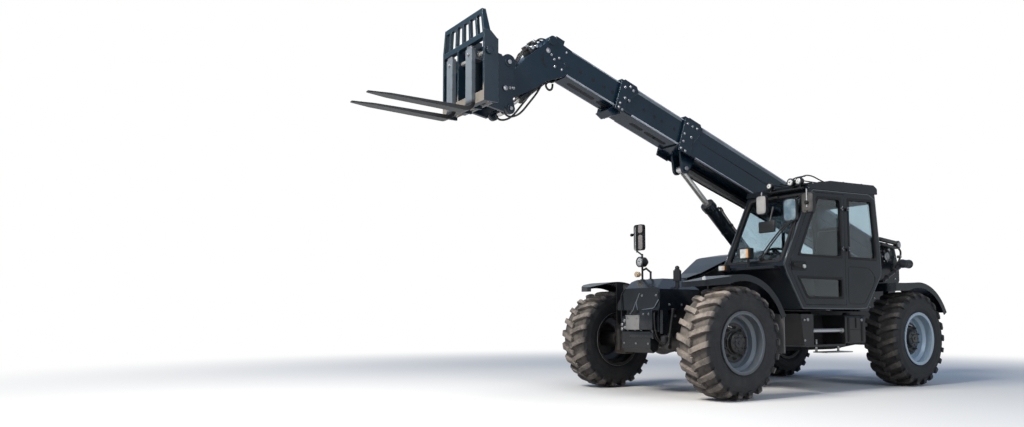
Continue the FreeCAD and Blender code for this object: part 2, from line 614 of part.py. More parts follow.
def boom_outer():
    """Fixed boom section: tail pivot, deep side skirts, front collar and the cylinder's ears."""
    floor = -OUTER_HALF_HEIGHT + OUTER_FLOOR_RISE
    shell = rect_tube(OUTER_TAIL, OUTER_FRONT, OUTER_HALF_WIDTH, floor, OUTER_HALF_HEIGHT, OUTER_WALL)
    pieces = [shell]
    for side in (1, -1):
        skirt = box(OUTER_TAIL + 180, OUTER_FRONT, side * (OUTER_HALF_WIDTH - OUTER_WALL), side * OUTER_HALF_WIDTH,
                    -OUTER_HALF_HEIGHT, floor + 60)
        pieces.append(skirt)
        cheek = plate_xz([(OUTER_FRONT - COLLAR_LENGTH, -OUTER_HALF_HEIGHT - 12),
                          (OUTER_FRONT, -OUTER_HALF_HEIGHT - 12), (OUTER_FRONT, 190),
                          (OUTER_FRONT - 60, OUTER_HALF_HEIGHT + 12), (OUTER_FRONT - 260, OUTER_HALF_HEIGHT + 12),
                          (OUTER_FRONT - 320, 150), (OUTER_FRONT - COLLAR_LENGTH, -60)],
                         side * (OUTER_HALF_WIDTH - 2), side * (OUTER_HALF_WIDTH + 10))
        pieces.append(cheek)
        ear = strap((LIFT_EYE_U + 15, -OUTER_HALF_HEIGHT + 60), (LIFT_EYE_U, LIFT_EYE_N), 130, 62,
                    side * 56, side * 86)
        ear = ear.cut(box(LIFT_EYE_U - 200, LIFT_EYE_U + 200, side * 50, side * 90, floor + 2, floor + 300))
        pin = rod((LIFT_EYE_U, side * 50, LIFT_EYE_N), (LIFT_EYE_U, side * 104, LIFT_EYE_N), LIFT_PIN_RADIUS)
        pieces += [ear, pin]
    pieces.append(box(OUTER_FRONT - 240, OUTER_FRONT - 20, -OUTER_HALF_WIDTH + 30, OUTER_HALF_WIDTH - 30,
                      OUTER_HALF_HEIGHT - 2, OUTER_HALF_HEIGHT + 26))
    pieces += wear_pads(OUTER_FRONT - 190, OUTER_FRONT - 20, OUTER_HALF_WIDTH - OUTER_WALL, floor + OUTER_WALL,
                        OUTER_HALF_HEIGHT - OUTER_WALL, MID_HALF_WIDTH, MID_LOW, MID_HIGH)
    pieces.append(box(700, OUTER_FRONT - 420, -OUTER_HALF_WIDTH, -105, -OUTER_HALF_HEIGHT - 45, -OUTER_HALF_HEIGHT + 2))
    pieces.append(rod((0, -OUTER_HALF_WIDTH - 15, 0), (0, OUTER_HALF_WIDTH + 15, 0), 92))
    pieces.append(box(OUTER_TAIL, OUTER_TAIL + 15, -OUTER_HALF_WIDTH + 5, OUTER_HALF_WIDTH - 5,
                      floor + 5, OUTER_HALF_HEIGHT - 5))
    body = fuse(pieces)
    bore = rod((0, -300, 0), (0, 300, 0), PIVOT_PIN_RADIUS + FIT)
    return to_boom(body.cut(bore))


def boom_mid():
    """First sliding section with its front collar and pads."""
    shell = rect_tube(MID_FRONT - MID_LENGTH, MID_FRONT, MID_HALF_WIDTH, MID_LOW, MID_HIGH, MID_WALL)
    pieces = [shell]
    for side in (1, -1):
        cheek = plate_xz([(MID_FRONT - 130, MID_LOW - 30), (MID_FRONT, MID_LOW - 30), (MID_FRONT, MID_HIGH - 20),
                          (MID_FRONT - 40, MID_HIGH + 18), (MID_FRONT - 230, MID_HIGH + 18),
                          (MID_FRONT - 280, MID_HIGH - 40), (MID_FRONT - 130, MID_CENTRE_N - 60)],
                         side * (MID_HALF_WIDTH - 2), side * (MID_HALF_WIDTH + 14))
        pieces.append(cheek)
    pieces.append(box(MID_FRONT - 220, MID_FRONT - 20, -MID_HALF_WIDTH + 30, MID_HALF_WIDTH - 30,
                      MID_HIGH - 2, MID_HIGH + 30))
    lip = plate_xz([(MID_FRONT - 130, MID_LOW + 2), (MID_FRONT, MID_LOW + 2), (MID_FRONT + 60, MID_LOW - 70),
                    (MID_FRONT - 40, MID_LOW - 95), (MID_FRONT - 130, MID_LOW - 30)], -110, 110)
    pieces.append(lip)
    pieces += wear_pads(MID_FRONT - 150, MID_FRONT - 20, MID_HALF_WIDTH - MID_WALL, MID_LOW + MID_WALL,
                        MID_HIGH - MID_WALL, INNER_HALF_WIDTH, INNER_LOW, INNER_HIGH)
    return to_boom(fuse(pieces))


def boom_inner():
    """Second sliding section with the dropped neck plates at its front."""
    shell = rect_tube(INNER_FRONT - INNER_LENGTH, INNER_FRONT, INNER_HALF_WIDTH, INNER_LOW, INNER_HIGH, INNER_WALL)
    start = NECK_START_U
    plate = plate_xz([(start + du, n) for du, n in NECK_STEPS], NECK_HALF_WIDTH - NECK_PLATE, NECK_HALF_WIDTH)
    back = plate_xz([(start + du, n) for du, n in NECK_BACK_STEPS], -NECK_HALF_WIDTH + NECK_PLATE,
                    NECK_HALF_WIDTH - NECK_PLATE)
    valve = box(start + 105, start + 225, -85, 85, 170, 262)
    manifold = box(start + 235, start + 300, -60, 60, 150, 215)
    pieces = [shell, back, valve, manifold] + both_sides(plate)
    pieces.append(rod((start + 290, -150, 150), (start + 290, 150, 150), 52))
    foot_pin = rod((TILT_FOOT_U, -NECK_HALF_WIDTH - 12, TILT_FOOT_N), (TILT_FOOT_U, NECK_HALF_WIDTH + 12, TILT_FOOT_N),
                   TILT_PIN_RADIUS)
    eye = rod((TILT_U, -NECK_HALF_WIDTH - 8, TILT_N), (TILT_U, NECK_HALF_WIDTH + 8, TILT_N), 85)
    pin = rod((TILT_U, -196, TILT_N), (TILT_U, 196, TILT_N), TILT_PIN_RADIUS)
    slot = box(TILT_FOOT_U - 60, INNER_FRONT + 1, -NECK_HALF_WIDTH + NECK_PLATE, NECK_HALF_WIDTH - NECK_PLATE,
               -200, TILT_FOOT_N + 80)
    body = fuse(pieces).cut(slot)
    return to_boom(fuse([body, foot_pin, eye, pin]))


# Cylinders


def ram_parts(foot, eye, barrel_radius, rod_radius, shown, stroke_in, pin_radius, half_width, eye_radius,
              foot_half):
    """Barrel and piston rod of a cylinder between two XZ points."""
    span = math.hypot(eye[0] - foot[0], eye[1] - foot[1])
    gland = along(foot, eye, span - shown)
    neck = along(foot, eye, barrel_radius * 0.9)
    inside = along(foot, eye, barrel_radius * 1.3)
    rod_end = along(foot, eye, barrel_radius * 1.3 + 40 + stroke_in)
    near_eye = along(foot, eye, span)
    barrel = rod((neck[0], 0, neck[1]), (gland[0], 0, gland[1]), barrel_radius)
    head = along(foot, eye, span - shown - 90)
    barrel = barrel.fuse(rod((head[0], 0, head[1]), (gland[0], 0, gland[1]), barrel_radius + 10))
    foot_eye = rod((foot[0], -foot_half, foot[1]), (foot[0], foot_half, foot[1]), barrel_radius * 0.95)
    bore = rod((inside[0], 0, inside[1]), (near_eye[0], 0, near_eye[1]), rod_radius + FIT)
    pin_hole = rod((foot[0], -foot_half - 1, foot[1]), (foot[0], foot_half + 1, foot[1]), pin_radius + FIT)
    barrel = fuse([barrel, foot_eye]).cut(bore).cut(pin_hole)
    piston = rod((rod_end[0], 0, rod_end[1]), (near_eye[0], 0, near_eye[1]), rod_radius)
    eye_ring = rod((eye[0], -half_width, eye[1]), (eye[0], half_width, eye[1]), eye_radius)
    eye_hole = rod((eye[0], -half_width - 1, eye[1]), (eye[0], half_width + 1, eye[1]), eye_radius * 0.6)
    piston = fuse([piston, eye_ring]).cut(eye_hole)
    return barrel, piston


# Fork carriage


def coupler():
    """Quick hitch between the neck and the carriage: two cheeks, bosses and a back plate."""
    pieces = []
    back_x = COUPLER_BACK_X
    for side in (1, -1):
        y0, y1 = side * 146, side * 186
        upper = strap(COUPLER_TOP, TILT_PIVOT, 88, 80, y0, y1)
        lower = strap(TILT_PIVOT, COUPLER_EYE, 78, 56, y0, y1)
        top_z, eye_z = COUPLER_TOP_Z, COUPLER_EYE_Z
        web = plate_xz([(COUPLER_TOP_X, top_z - 60), (COUPLER_TOP_X + 90, top_z + 70), (back_x, top_z + 100),
                        (back_x, eye_z), (COUPLER_EYE_X + 80, eye_z - 40), (TILT_PIVOT[0] - 30, TILT_PIVOT[1])],
                       y0, y1)
        boss = rod((COUPLER_EYE_X, side * 140, COUPLER_EYE_Z), (COUPLER_EYE_X, side * 192, COUPLER_EYE_Z), 46)
        eye_pin = rod((COUPLER_EYE_X, side * 46, COUPLER_EYE_Z), (COUPLER_EYE_X, side * 204, COUPLER_EYE_Z), 20)
        hook_pin = rod((COUPLER_TOP_X, side * 142, COUPLER_TOP_Z), (COUPLER_TOP_X, side * 205, COUPLER_TOP_Z), 24)
        pieces += [upper, lower, web, boss, eye_pin, hook_pin]
    pieces.append(box(back_x - 30, back_x, -300, 300, COUPLER_EYE_Z - 10, COUPLER_TOP_Z + 100))
    body = fuse(pieces)
    return body.cut(rod((TILT_PIVOT[0], -260, TILT_PIVOT[1]), (TILT_PIVOT[0], 260, TILT_PIVOT[1]), TILT_PIN_RADIUS + FIT))


def carriage():
    """Fork frame: two side plates, inner uprights, cross members and the load guard."""
    half = CARRIAGE_WIDTH / 2
    front = CARRIAGE_FRONT_X
    back = front - CARRIAGE_DEPTH
    pieces = []
    guard_z, top_z, lean = GUARD_FOOT_Z, CARRIAGE_TOP_Z, GUARD_LEAN
    side_outline = [(front, CARRIAGE_BOTTOM_Z), (front, guard_z + 20), (front - 80, guard_z + 20),
                    (back, guard_z - 60), (back, CARRIAGE_BOTTOM_Z)]
    post_outline = [(front, guard_z), (front, top_z), (front - 45, top_z), (front - 80, guard_z)]
    for side in (1, -1):
        pieces.append(plate_xz(side_outline, side * half, side * (half - CARRIAGE_PLATE)))
        post = plate_yz([(side * half, guard_z), (side * (half - lean), top_z), (side * (half - lean - 34), top_z),
                         (side * (half - 34), guard_z)], front - 100, front)
        pieces.append(post.common(plate_xz(post_outline, -half, half)))
        pieces.append(box(back, front, side * 95, side * 117, CARRIAGE_BOTTOM_Z, 3790))
    pieces.append(box(front - 40, front, -half + lean, half - lean, top_z - 50, top_z))
    for z0, z1 in ((3735, guard_z), (CARRIAGE_BOTTOM_Z, 3190)):
        pieces.append(box(front - 60, front, -half, half, z0, z1))
    pieces.append(box(back, back + 20, -half, half, 3110, 3300))
    pieces.append(box(back, back + 20, -half, half, 3650, 3740))
    for i in range(GUARD_BARS):
        share = 2 * (i + 1) / (GUARD_BARS + 1) - 1
        low_y, high_y = share * half, share * (half - lean)
        pieces.append(plate_yz([(low_y - 17, guard_z - 10), (low_y + 17, guard_z - 10), (high_y + 17, top_z - 10),
                                (high_y - 17, top_z - 10)], front - 35, front))
    for side in (1, -1):
        for y0, y1 in ((half, half - CARRIAGE_PLATE), (117, 95)):
            pieces.append(rod((FORK_SHAFT_X, side * y0, FORK_SHAFT_Z), (FORK_SHAFT_X, side * y1, FORK_SHAFT_Z), 42))
    body = fuse(pieces)
    return body.cut(rod((FORK_SHAFT_X, -half - 1, FORK_SHAFT_Z), (FORK_SHAFT_X, half + 1, FORK_SHAFT_Z),
                        FORK_SHAFT_RADIUS + FIT))


def fork(side):
    """Pallet fork: eye on the shaft, upright shank, bent heel and tapering blade."""
    y0 = side * FORK_Y - FORK_WIDTH / 2
    y1 = y0 + FORK_WIDTH
    shank_x = CARRIAGE_FRONT_X + GAP
    heel = FORK_THICKNESS
    radius = 60.0
    blade_z = FORK_TOP_Z
    low_z = blade_z - heel
    tip_x = shank_x + heel + FORK_LENGTH
    c = math.cos(math.radians(45))
    inner_c = Vector(shank_x + heel + radius, y0, blade_z + radius)
    points = {
        "shank_top_back": Vector(shank_x, y0, 3660),
        "shank_low_back": Vector(shank_x, y0, blade_z + radius),
        "heel_mid_out": Vector(inner_c.x - (radius + heel) * c, y0, inner_c.z - (radius + heel) * c),
        "heel_low": Vector(inner_c.x, y0, low_z),
        "tip_low": Vector(tip_x, y0, blade_z - 12),
        "tip_top": Vector(tip_x, y0, blade_z),
        "heel_top": Vector(inner_c.x, y0, blade_z),
        "heel_mid_in": Vector(inner_c.x - radius * c, y0, inner_c.z - radius * c),
        "shank_low_front": Vector(shank_x + heel, y0, blade_z + radius),
        "shank_top_front": Vector(shank_x + heel, y0, 3660),
    }
    p = points
    edges = [
        Part.makeLine(p["shank_top_back"], p["shank_low_back"]),
        Part.Arc(p["shank_low_back"], p["heel_mid_out"], p["heel_low"]).toShape(),
        Part.makeLine(p["heel_low"], p["tip_low"]),
        Part.makeLine(p["tip_low"], p["tip_top"]),
        Part.makeLine(p["tip_top"], p["heel_top"]),
        Part.Arc(p["heel_top"], p["heel_mid_in"], p["shank_low_front"]).toShape(),
        Part.makeLine(p["shank_low_front"], p["shank_top_front"]),
        Part.makeLine(p["shank_top_front"], p["shank_top_back"]),
    ]
    blade = Part.Face(Part.Wire(edges)).extrude(Vector(0, y1 - y0, 0))
    for edge_y, sign in ((y0, 1), (y1, -1)):
        corner = plate_xy([(tip_x - 220, edge_y), (tip_x + 5, edge_y), (tip_x + 5, edge_y + sign * 42)],
                          low_z - 10, blade_z + 10)
        blade = blade.cut(corner)
    eye = box(FORK_SHAFT_X - 45, shank_x + 5, y0 + 12, y1 - 12, FORK_SHAFT_Z - 45, FORK_SHAFT_Z + 45)
    shaft_hole = rod((FORK_SHAFT_X, y0, FORK_SHAFT_Z), (FORK_SHAFT_X, y1, FORK_SHAFT_Z), FORK_SHAFT_RADIUS + FIT)
    return fuse([blade, eye]).cut(shaft_hole)


def fork_shaft():
    """Round bar that the forks hang on."""
    half = CARRIAGE_WIDTH / 2 + 8
    return rod((FORK_SHAFT_X, -half, FORK_SHAFT_Z), (FORK_SHAFT_X, half, FORK_SHAFT_Z), FORK_SHAFT_RADIUS)


# Cab


def inset(points, distance):
    """Outline moved inwards by a distance, corner by corner."""
    count = len(points)
    area = sum(points[i][0] * points[(i + 1) % count][1] - points[(i + 1) % count][0] * points[i][1]
               for i in range(count))
    turn = 1.0 if area > 0 else -1.0
    result = []
    for i in range(count):
        ax, az = points[i - 1]
        bx, bz = points[i]
        cx, cz = points[(i + 1) % count]
        d1 = math.hypot(bx - ax, bz - az)
        d2 = math.hypot(cx - bx, cz - bz)
        n1 = (-turn * (bz - az) / d1, turn * (bx - ax) / d1)
        n2 = (-turn * (cz - bz) / d2, turn * (cx - bx) / d2)
        scale = distance / (1 + n1[0] * n2[0] + n1[1] * n2[1])
        result.append((bx + (n1[0] + n2[0]) * scale, bz + (n1[1] + n2[1]) * scale))
    return result


def cab_shell():
    """Hollow cab: floor, pillars and panels with the door and window openings cut."""
    outer = plate_xz(CAB_PROFILE, CAB_INNER_Y, CAB_OUTER_Y)
    inner = plate_xz(inset(CAB_PROFILE, CAB_WALL), CAB_INNER_Y + CAB_WALL, CAB_OUTER_Y - CAB_WALL)
    shell = outer.cut(inner)
    shell = shell.cut(plate_xz(DOOR_OPENING, CAB_OUTER_Y - CAB_WALL - 1, CAB_OUTER_Y + 1))
    shell = shell.cut(plate_xz(QUARTER_WINDOW, CAB_OUTER_Y - CAB_WALL - 1, CAB_OUTER_Y + 1))
    shell = shell.cut(plate_xz(SIDE_WINDOW, CAB_INNER_Y - 1, CAB_INNER_Y + CAB_WALL + 1))
    shell = shell.cut(windscreen_prism(-200, 200))
    shell = shell.cut(box(-1100, -800, CAB_INNER_Y + 70, CAB_OUTER_Y - 70, 1700, 2380))
    shell = shell.cut(box(-760, 330, CAB_INNER_Y + 70, CAB_OUTER_Y - 70, 2380, 2600))
    ledge = plate_xz([(930, LEDGE_TOP_Z - 45), (LEDGE_FRONT_X, LEDGE_TOP_Z - 32), (LEDGE_FRONT_X, LEDGE_TOP_Z),
                      (940, LEDGE_TOP_Z)], CAB_INNER_Y, CAB_OUTER_Y - 70)
    shell = fuse([shell, ledge.cut(plate_xz(inset(CAB_PROFILE, CAB_WALL), CAB_INNER_Y, CAB_OUTER_Y))])
    for z in HINGE_HEIGHTS:
        lug_block = box(DOOR_HINGE_X - 60, DOOR_HINGE_X - 14, CAB_OUTER_Y, CAB_OUTER_Y + 12, z - 30, z + 30)
        knuckle_tube = tube((DOOR_HINGE_X, DOOR_HINGE_Y, z - 30), (DOOR_HINGE_X, DOOR_HINGE_Y, z - 3), 14, 7 + FIT)
        link = box(DOOR_HINGE_X - 20, DOOR_HINGE_X - 9, CAB_OUTER_Y, DOOR_HINGE_Y, z - 30, z - 3)
        shell = fuse([shell, lug_block, link, knuckle_tube])
    return shell


def windscreen_prism(inwards, outwards):
    """Slab in the raked windscreen's opening, between two depths from the outer face."""
    length = math.hypot(SCREEN_HIGH[0] - SCREEN_LOW[0], SCREEN_HIGH[1] - SCREEN_LOW[1])
    tx = (SCREEN_HIGH[0] - SCREEN_LOW[0]) / length
    tz = (SCREEN_HIGH[1] - SCREEN_LOW[1]) / length
    nx, nz = tz, -tx
    corners = []
    for t, d in ((60, inwards), (length - 60, inwards), (length - 60, outwards), (60, outwards)):
        corners.append((SCREEN_LOW[0] + tx * t + nx * d, SCREEN_LOW[1] + tz * t + nz * d))
    return plate_xz(corners, CAB_INNER_Y + 55, CAB_OUTER_Y - 55)


def cab_glass():
    """Fixed panes: windscreen, side, rear quarter, rear and roof windows."""
    panes = [
        windscreen_prism(-20 - GLASS, -20),
        plate_xz(SIDE_WINDOW, CAB_INNER_Y + 20, CAB_INNER_Y + 20 + GLASS),
        plate_xz(QUARTER_WINDOW, CAB_OUTER_Y - 20 - GLASS, CAB_OUTER_Y - 20),
    ]
    rear = plate_xz(CAB_PROFILE, CAB_INNER_Y, CAB_OUTER_Y).cut(
        plate_xz(inset(CAB_PROFILE, GLASS + 15), CAB_INNER_Y - 1, CAB_OUTER_Y + 1))
    rear = rear.common(plate_xz(inset(CAB_PROFILE, 15), CAB_INNER_Y, CAB_OUTER_Y))
    rear = rear.common(box(-1100, -800, CAB_INNER_Y + 70, CAB_OUTER_Y - 70, 1700, 2380))
    panes.append(rear)
    panes.append(box(-760, 330, CAB_INNER_Y + 70, CAB_OUTER_Y - 70, 2440, 2440 + GLASS))
    return Part.makeCompound(panes)


def cab_roof():
    """Roof cap with a rounded rear edge and an overhanging visor."""
    outline = [*ROOF_FRONT, (60, 2585), (-850, 2612), (-925, 2570), (-925, 2480)]
    cap = plate_xz(outline, CAB_INNER_Y - 5, CAB_OUTER_Y + 10)
    cap = cap.makeFillet(22, [edge for edge in cap.Edges if edge.BoundBox.YLength > 500 and edge.CenterOfMass.z > 2560])
    hatch = box(-700, 270, CAB_INNER_Y + 110, CAB_OUTER_Y - 110, 2400, 2700)
    under = plate_xz([(900, 2300), (458, 2455), (-880, 2497), (-1200, 2507), (-1200, 2200), (900, 2200)],
                     0, 2000)
    return cap.cut(under).cut(hatch)


def door_panel(clearance):
    """Door outline solid, smaller than its opening by a clearance."""
    return plate_xz(inset(DOOR_OPENING, clearance), CAB_OUTER_Y - CAB_WALL, CAB_OUTER_Y)


def door_frame():
    """Door with its two window openings, hinge knuckles and grab handle."""
    door = door_panel(RUN)
    door = door.cut(plate_xz(DOOR_WINDOW, CAB_OUTER_Y - 100, CAB_OUTER_Y + 50))
    door = door.cut(plate_xz(DOOR_LOWER_WINDOW, CAB_OUTER_Y - 100, CAB_OUTER_Y + 50))
    pieces = [door]
    for z in HINGE_HEIGHTS:
        pieces.append(box(DOOR_HINGE_X + 36, DOOR_HINGE_X + 110, CAB_OUTER_Y - 1, CAB_OUTER_Y + 10, z - 30, z + 30))
        pieces.append(box(DOOR_HINGE_X + 9, DOOR_HINGE_X + 60, CAB_OUTER_Y + 4, DOOR_HINGE_Y + 6, z + 3, z + 30))
        pieces.append(rod((DOOR_HINGE_X, DOOR_HINGE_Y, z + 3), (DOOR_HINGE_X, DOOR_HINGE_Y, z + 30), 14))
        pieces.append(rod((DOOR_HINGE_X, DOOR_HINGE_Y, z - 32), (DOOR_HINGE_X, DOOR_HINGE_Y, z + 30), 7))
    pieces.append(box(700, 800, CAB_OUTER_Y - 1, CAB_OUTER_Y + 26, 1502, 1548))
    return fuse(pieces)


def door_glass():
    """The door's upper and lower panes."""
    y0 = CAB_OUTER_Y - 20 - GLASS
    upper = plate_xz(DOOR_WINDOW, y0, y0 + GLASS)
    lower = plate_xz(DOOR_LOWER_WINDOW, y0, y0 + GLASS)
    return Part.makeCompound([upper, lower])


def cab_seat():
    """Operator's seat cushion and back as one plain cushion."""
    base = box(-480, 60, 500, 980, 1440, 1560)
    back = plate_xz([(-560, 1500), (-430, 1500), (-560, 2130), (-680, 2110)], 520, 960)
    return fuse([base, back])


def cab_console():
    """Seat base, steering column with its wheel and the side console."""
    floor_z = CAB_FLOOR_Z + CAB_WALL
    base = box(-440, 20, 560, 920, floor_z, 1440 - GAP)
    column = rod((545, 740, floor_z - 1), (400, 740, 1640), 38)
    column = column.cut(box(300, 900, 600, 900, floor_z - 60, floor_z))
    wheel = ring((385, 740, 1690), (-0.38, 0, 0.92), 175, 15)
    spoke = rod((400, 740, 1640), (385, 740, 1690), 30)
    bars = rod((385 - 0.92 * 175, 740, 1690 - 0.38 * 175), (385 + 0.92 * 175, 740, 1690 + 0.38 * 175), 11)
    cross = rod((385, 565, 1690), (385, 915, 1690), 11)
    side = box(-300, 330, CAB_INNER_Y + CAB_WALL, CAB_INNER_Y + CAB_WALL + 130, floor_z, 1540)
    return Part.makeCompound([base, fuse([column, spoke, wheel, bars, cross]), side])


# Body panels


def bay_plan(inwards, z0, z1):
    """Plan outline of the engine bay as a prism, with its outer front corner cut back."""
    front = BONNET_FRONT_X - inwards
    outer = BONNET_OUTER_Y + inwards
    return plate_xy([(BONNET_REAR_X + inwards, BONNET_INNER_Y), (front, BONNET_INNER_Y), (front, BONNET_TAPER_Y + inwards),
                     (BONNET_TAPER_X, outer), (BONNET_REAR_X + inwards, outer)], z0, z1)


def bonnet():
    """Engine cover: falling top, outer side and end walls, open towards the frame and below."""
    w = BONNET_WALL
    top = list(BONNET_PROFILE)
    points = top + [(BONNET_FRONT_X, BONNET_BOTTOM_Z), (BONNET_REAR_X, BONNET_BOTTOM_Z)]
    outer = plate_xz(points, BONNET_OUTER_Y, BONNET_INNER_Y).common(bay_plan(0.0, 900, 2000))
    outer = outer.makeFillet(70, [edge for edge in outer.Edges
                                  if abs(edge.CenterOfMass.y - BONNET_OUTER_Y) < 1 and edge.CenterOfMass.z > 1700])
    lowered = [(x, z - w) for x, z in top]
    cavity = plate_xz(lowered + [(BONNET_FRONT_X, BONNET_BOTTOM_Z - 1), (BONNET_REAR_X, BONNET_BOTTOM_Z - 1)],
                      BONNET_OUTER_Y, BONNET_INNER_Y + 1).common(bay_plan(w, 900, 2000))
    cavity = cavity.makeFillet(62, [edge for edge in cavity.Edges
                                    if abs(edge.CenterOfMass.y - BONNET_OUTER_Y - w) < 1 and edge.CenterOfMass.z > 1690])
    shell = outer.cut(cavity)
    for x in BONNET_HINGE_X:
        leaf = box(x - 40, x + 40, BONNET_INNER_Y - 50, BONNET_INNER_Y, BONNET_HINGE_Z - 12, BONNET_HINGE_Z + 6)
        barrel = rod((x - 40, BONNET_HINGE_Y, BONNET_HINGE_Z), (x - 3, BONNET_HINGE_Y, BONNET_HINGE_Z), 12)
        pin = rod((x - 40, BONNET_HINGE_Y, BONNET_HINGE_Z), (x + 40, BONNET_HINGE_Y, BONNET_HINGE_Z), 6)
        link = box(x - 40, x - 3, BONNET_INNER_Y - 1, BONNET_HINGE_Y, BONNET_HINGE_Z - 6, BONNET_HINGE_Z + 6)
        shell = fuse([shell, leaf.cut(box(x - 3, x + 41, BONNET_INNER_Y - 8, 0, 0, 3000)), link, barrel, pin])
    return shell


def bay_wall():
    """Fixed wall between the engine and the boom, with the bonnet's hinge barrels."""
    foot = FRAME_TOP_Z - 40
    outline = [(BONNET_REAR_X, foot)] + [(x, z - 30) for x, z in BONNET_PROFILE] + [(BONNET_FRONT_X, foot)]
    y0, y1 = BONNET_INNER_Y + 26, BONNET_INNER_Y + 38
    wall = plate_xz(outline, y0, y1)
    pieces = [wall]
    for x in BONNET_HINGE_X:
        pieces.append(tube((x + 3, BONNET_HINGE_Y, BONNET_HINGE_Z), (x + 40, BONNET_HINGE_Y, BONNET_HINGE_Z), 12, 6 + FIT))
        pieces.append(box(x + 3, x + 40, BONNET_HINGE_Y + 8, y1, BONNET_HINGE_Z - 50, BONNET_HINGE_Z + 8))
    for x in (-900, 0, 800):
        pieces.append(box(x, x + 60, y0, -FRAME_HALF_WIDTH, foot, FRAME_TOP_Z))
    return fuse(pieces)


def tray_slab(inwards):
    """Tray block with both ends sloped up, smaller by a wall."""
    low, high = 620 + inwards, BONNET_BOTTOM_Z - 15
    rear, front = BONNET_REAR_X + inwards, BONNET_FRONT_X - inwards
    if inwards:
        high += 20
    side = plate_xz([(rear, high), (rear, low + 280), (rear + 260, low), (front - 260, low), (front, low + 280),
                     (front, high)], BONNET_OUTER_Y + inwards, BONNET_INNER_Y - inwards)
    return side.common(bay_plan(inwards, 500, 1100))


def engine_tray():
    """Open box under the bonnet that carries the engine, on arms from the frame."""
    tray = tray_slab(0.0).cut(tray_slab(10.0))
    arms = [box(x, x + 90, BONNET_INNER_Y - 1, -FRAME_HALF_WIDTH, 640, 760) for x in (-600, 500)]
    return fuse([tray] + arms)


def engine_block():
    """Plain engine block standing in its tray."""
    return box(-700, 150, -960, -520, 630, 1450)


def step_box():
    """Left under-cab module: step recess with its silver bar and the tank."""
    inner = FRAME_HALF_WIDTH
    side = plate_xz([(650, 950), (600, 580), (520, 560), (420, 560), (420, 950)], inner, 1180)
    shelf = box(-200, 420, inner, 1180, 560, 585)
    back = box(-200, 420, inner, 860, 585, 950)
    return fuse([side, shelf, back])


def step_bar():
    """Round step bar across the recess."""
    return rod((420, 1130, 750), (-200, 1130, 750), 22)


def fuel_tank():
    """Tank behind the step."""
    tank = box(-620, -200 - GAP, FRAME_HALF_WIDTH, 1180, 580, 940)
    return tank.makeFillet(35, [edge for edge in tank.Edges if edge.BoundBox.XLength > 300])


def front_nose():
    """Cast front end: belly casting, bumper blocks and the hood that slopes down to the driver's side."""
    start, top = FRAME_FRONT_X, FRAME_TOP_Z
    face = NOSE_FRONT_X
    casting = plate_xz([(start, 760), (start, 620), (start + 30, 520), (start + 95, 488), (face, 540), (face, 740),
                        (face - 30, 760)], -320, 180)
    beam = box(start, face - 45, -FRAME_HALF_WIDTH, FRAME_HALF_WIDTH, 740, top)
    bumper = plate_xz([(start, 760), (face + 20, 760), (face + 20, 905), (face - 10, 935), (start, 935)], -310, -70)
    bumper_side = box(start, face - 10, -90, 130, 770, 960)
    hood = plate_yz(HOOD_PROFILE, NOSE_REAR_X, face)
    slope = plate_xz([HOOD_SLOPE_START, (face + 100, 1400), (face + 100, 1150), HOOD_SLOPE_END], -450, 400)
    corner = [Vector(*p) for p in HOOD_CORNER]
    middle = (corner[0] + corner[1] + corner[2]) * (1 / 3)
    wide = [middle + (p - middle) * 3 for p in corner]
    outwards = (corner[1] - corner[0]).cross(corner[2] - corner[0]).normalize() * 400
    facet = Part.Face(Part.makePolygon(wide + [wide[0]])).extrude(outwards if outwards.y < 0 else outwards * -1)
    lower_hood = plate_xz([(face - 200, top - 5), (face + 20, top - 5), (face - 60, 1195), (face - 200, 1225)], -60, 345)
    link = plate_xz([(start + 10, 700), (face - 40, 720), (face - 50, 1150), (start - 60, 1150), (start - 60, top),
                     (start + 10, top)], 300, 345)
    deck = plate_xz([(NOSE_REAR_X - 350, top), (NOSE_REAR_X, top), (NOSE_REAR_X, 1200), (NOSE_REAR_X - 350, 1160)],
                    -300, 300)
    hood = hood.makeFillet(30, [edge for edge in hood.Edges if edge.BoundBox.XLength > 300 and edge.CenterOfMass.z > 1300])
    return fuse([casting, beam, bumper, bumper_side, hood.cut(slope).cut(facet), lower_hood, link, deck])


def air_post():
    """Capped post on the hood's low edge."""
    x, y, base = AIR_POST
    parts = [rod((x, y, base), (x, y, base + 117), 24), rod((x, y, base + 107), (x, y, base + 232), 48),
             rod((x, y, base + 227), (x, y, base + 247), 34), Part.makeSphere(27, Vector(x, y, base + 262))]
    return fuse(parts).cut(plate_yz(HOOD_PROFILE, x - 100, x + 100))


def lamp(x, y, z, radius, depth):
    """Round lamp housing that looks forward."""
    shell = rod((x - depth, y, z), (x, y, z), radius)
    back = Part.makeCone(radius * 0.55, radius, depth * 0.5, Vector(x - depth * 1.45, y, z), Vector(1, 0, 0))
    return shell.fuse(back)


def roof_lamps():
    """Three round work lamps on a rail along the roof's front edge."""
    x, z = ROOF_RAIL_X, ROOF_RAIL_Z
    pieces = [rod((x, 640, z), (x, 1170, z), 14)]
    (low_x, low_z), (high_x, high_z) = ROOF_FRONT
    slope = (high_x - low_x) / (high_z - low_z)
    for y in (680, 1130):
        foot = [(low_x + slope * (z + dz - low_z), z + dz) for dz in (10, -10)]
        pieces.append(plate_xz([*foot, (x, z - 10), (x, z + 10)], y - 18, y + 18))
    for y, radius in ROOF_LAMPS:
        pieces.append(rod((x, y, z), (x, y, z + 70), 9))
        pieces.append(lamp(x + 25, y, z + 60 + radius * 0.6, radius, 50))
    return fuse(pieces)


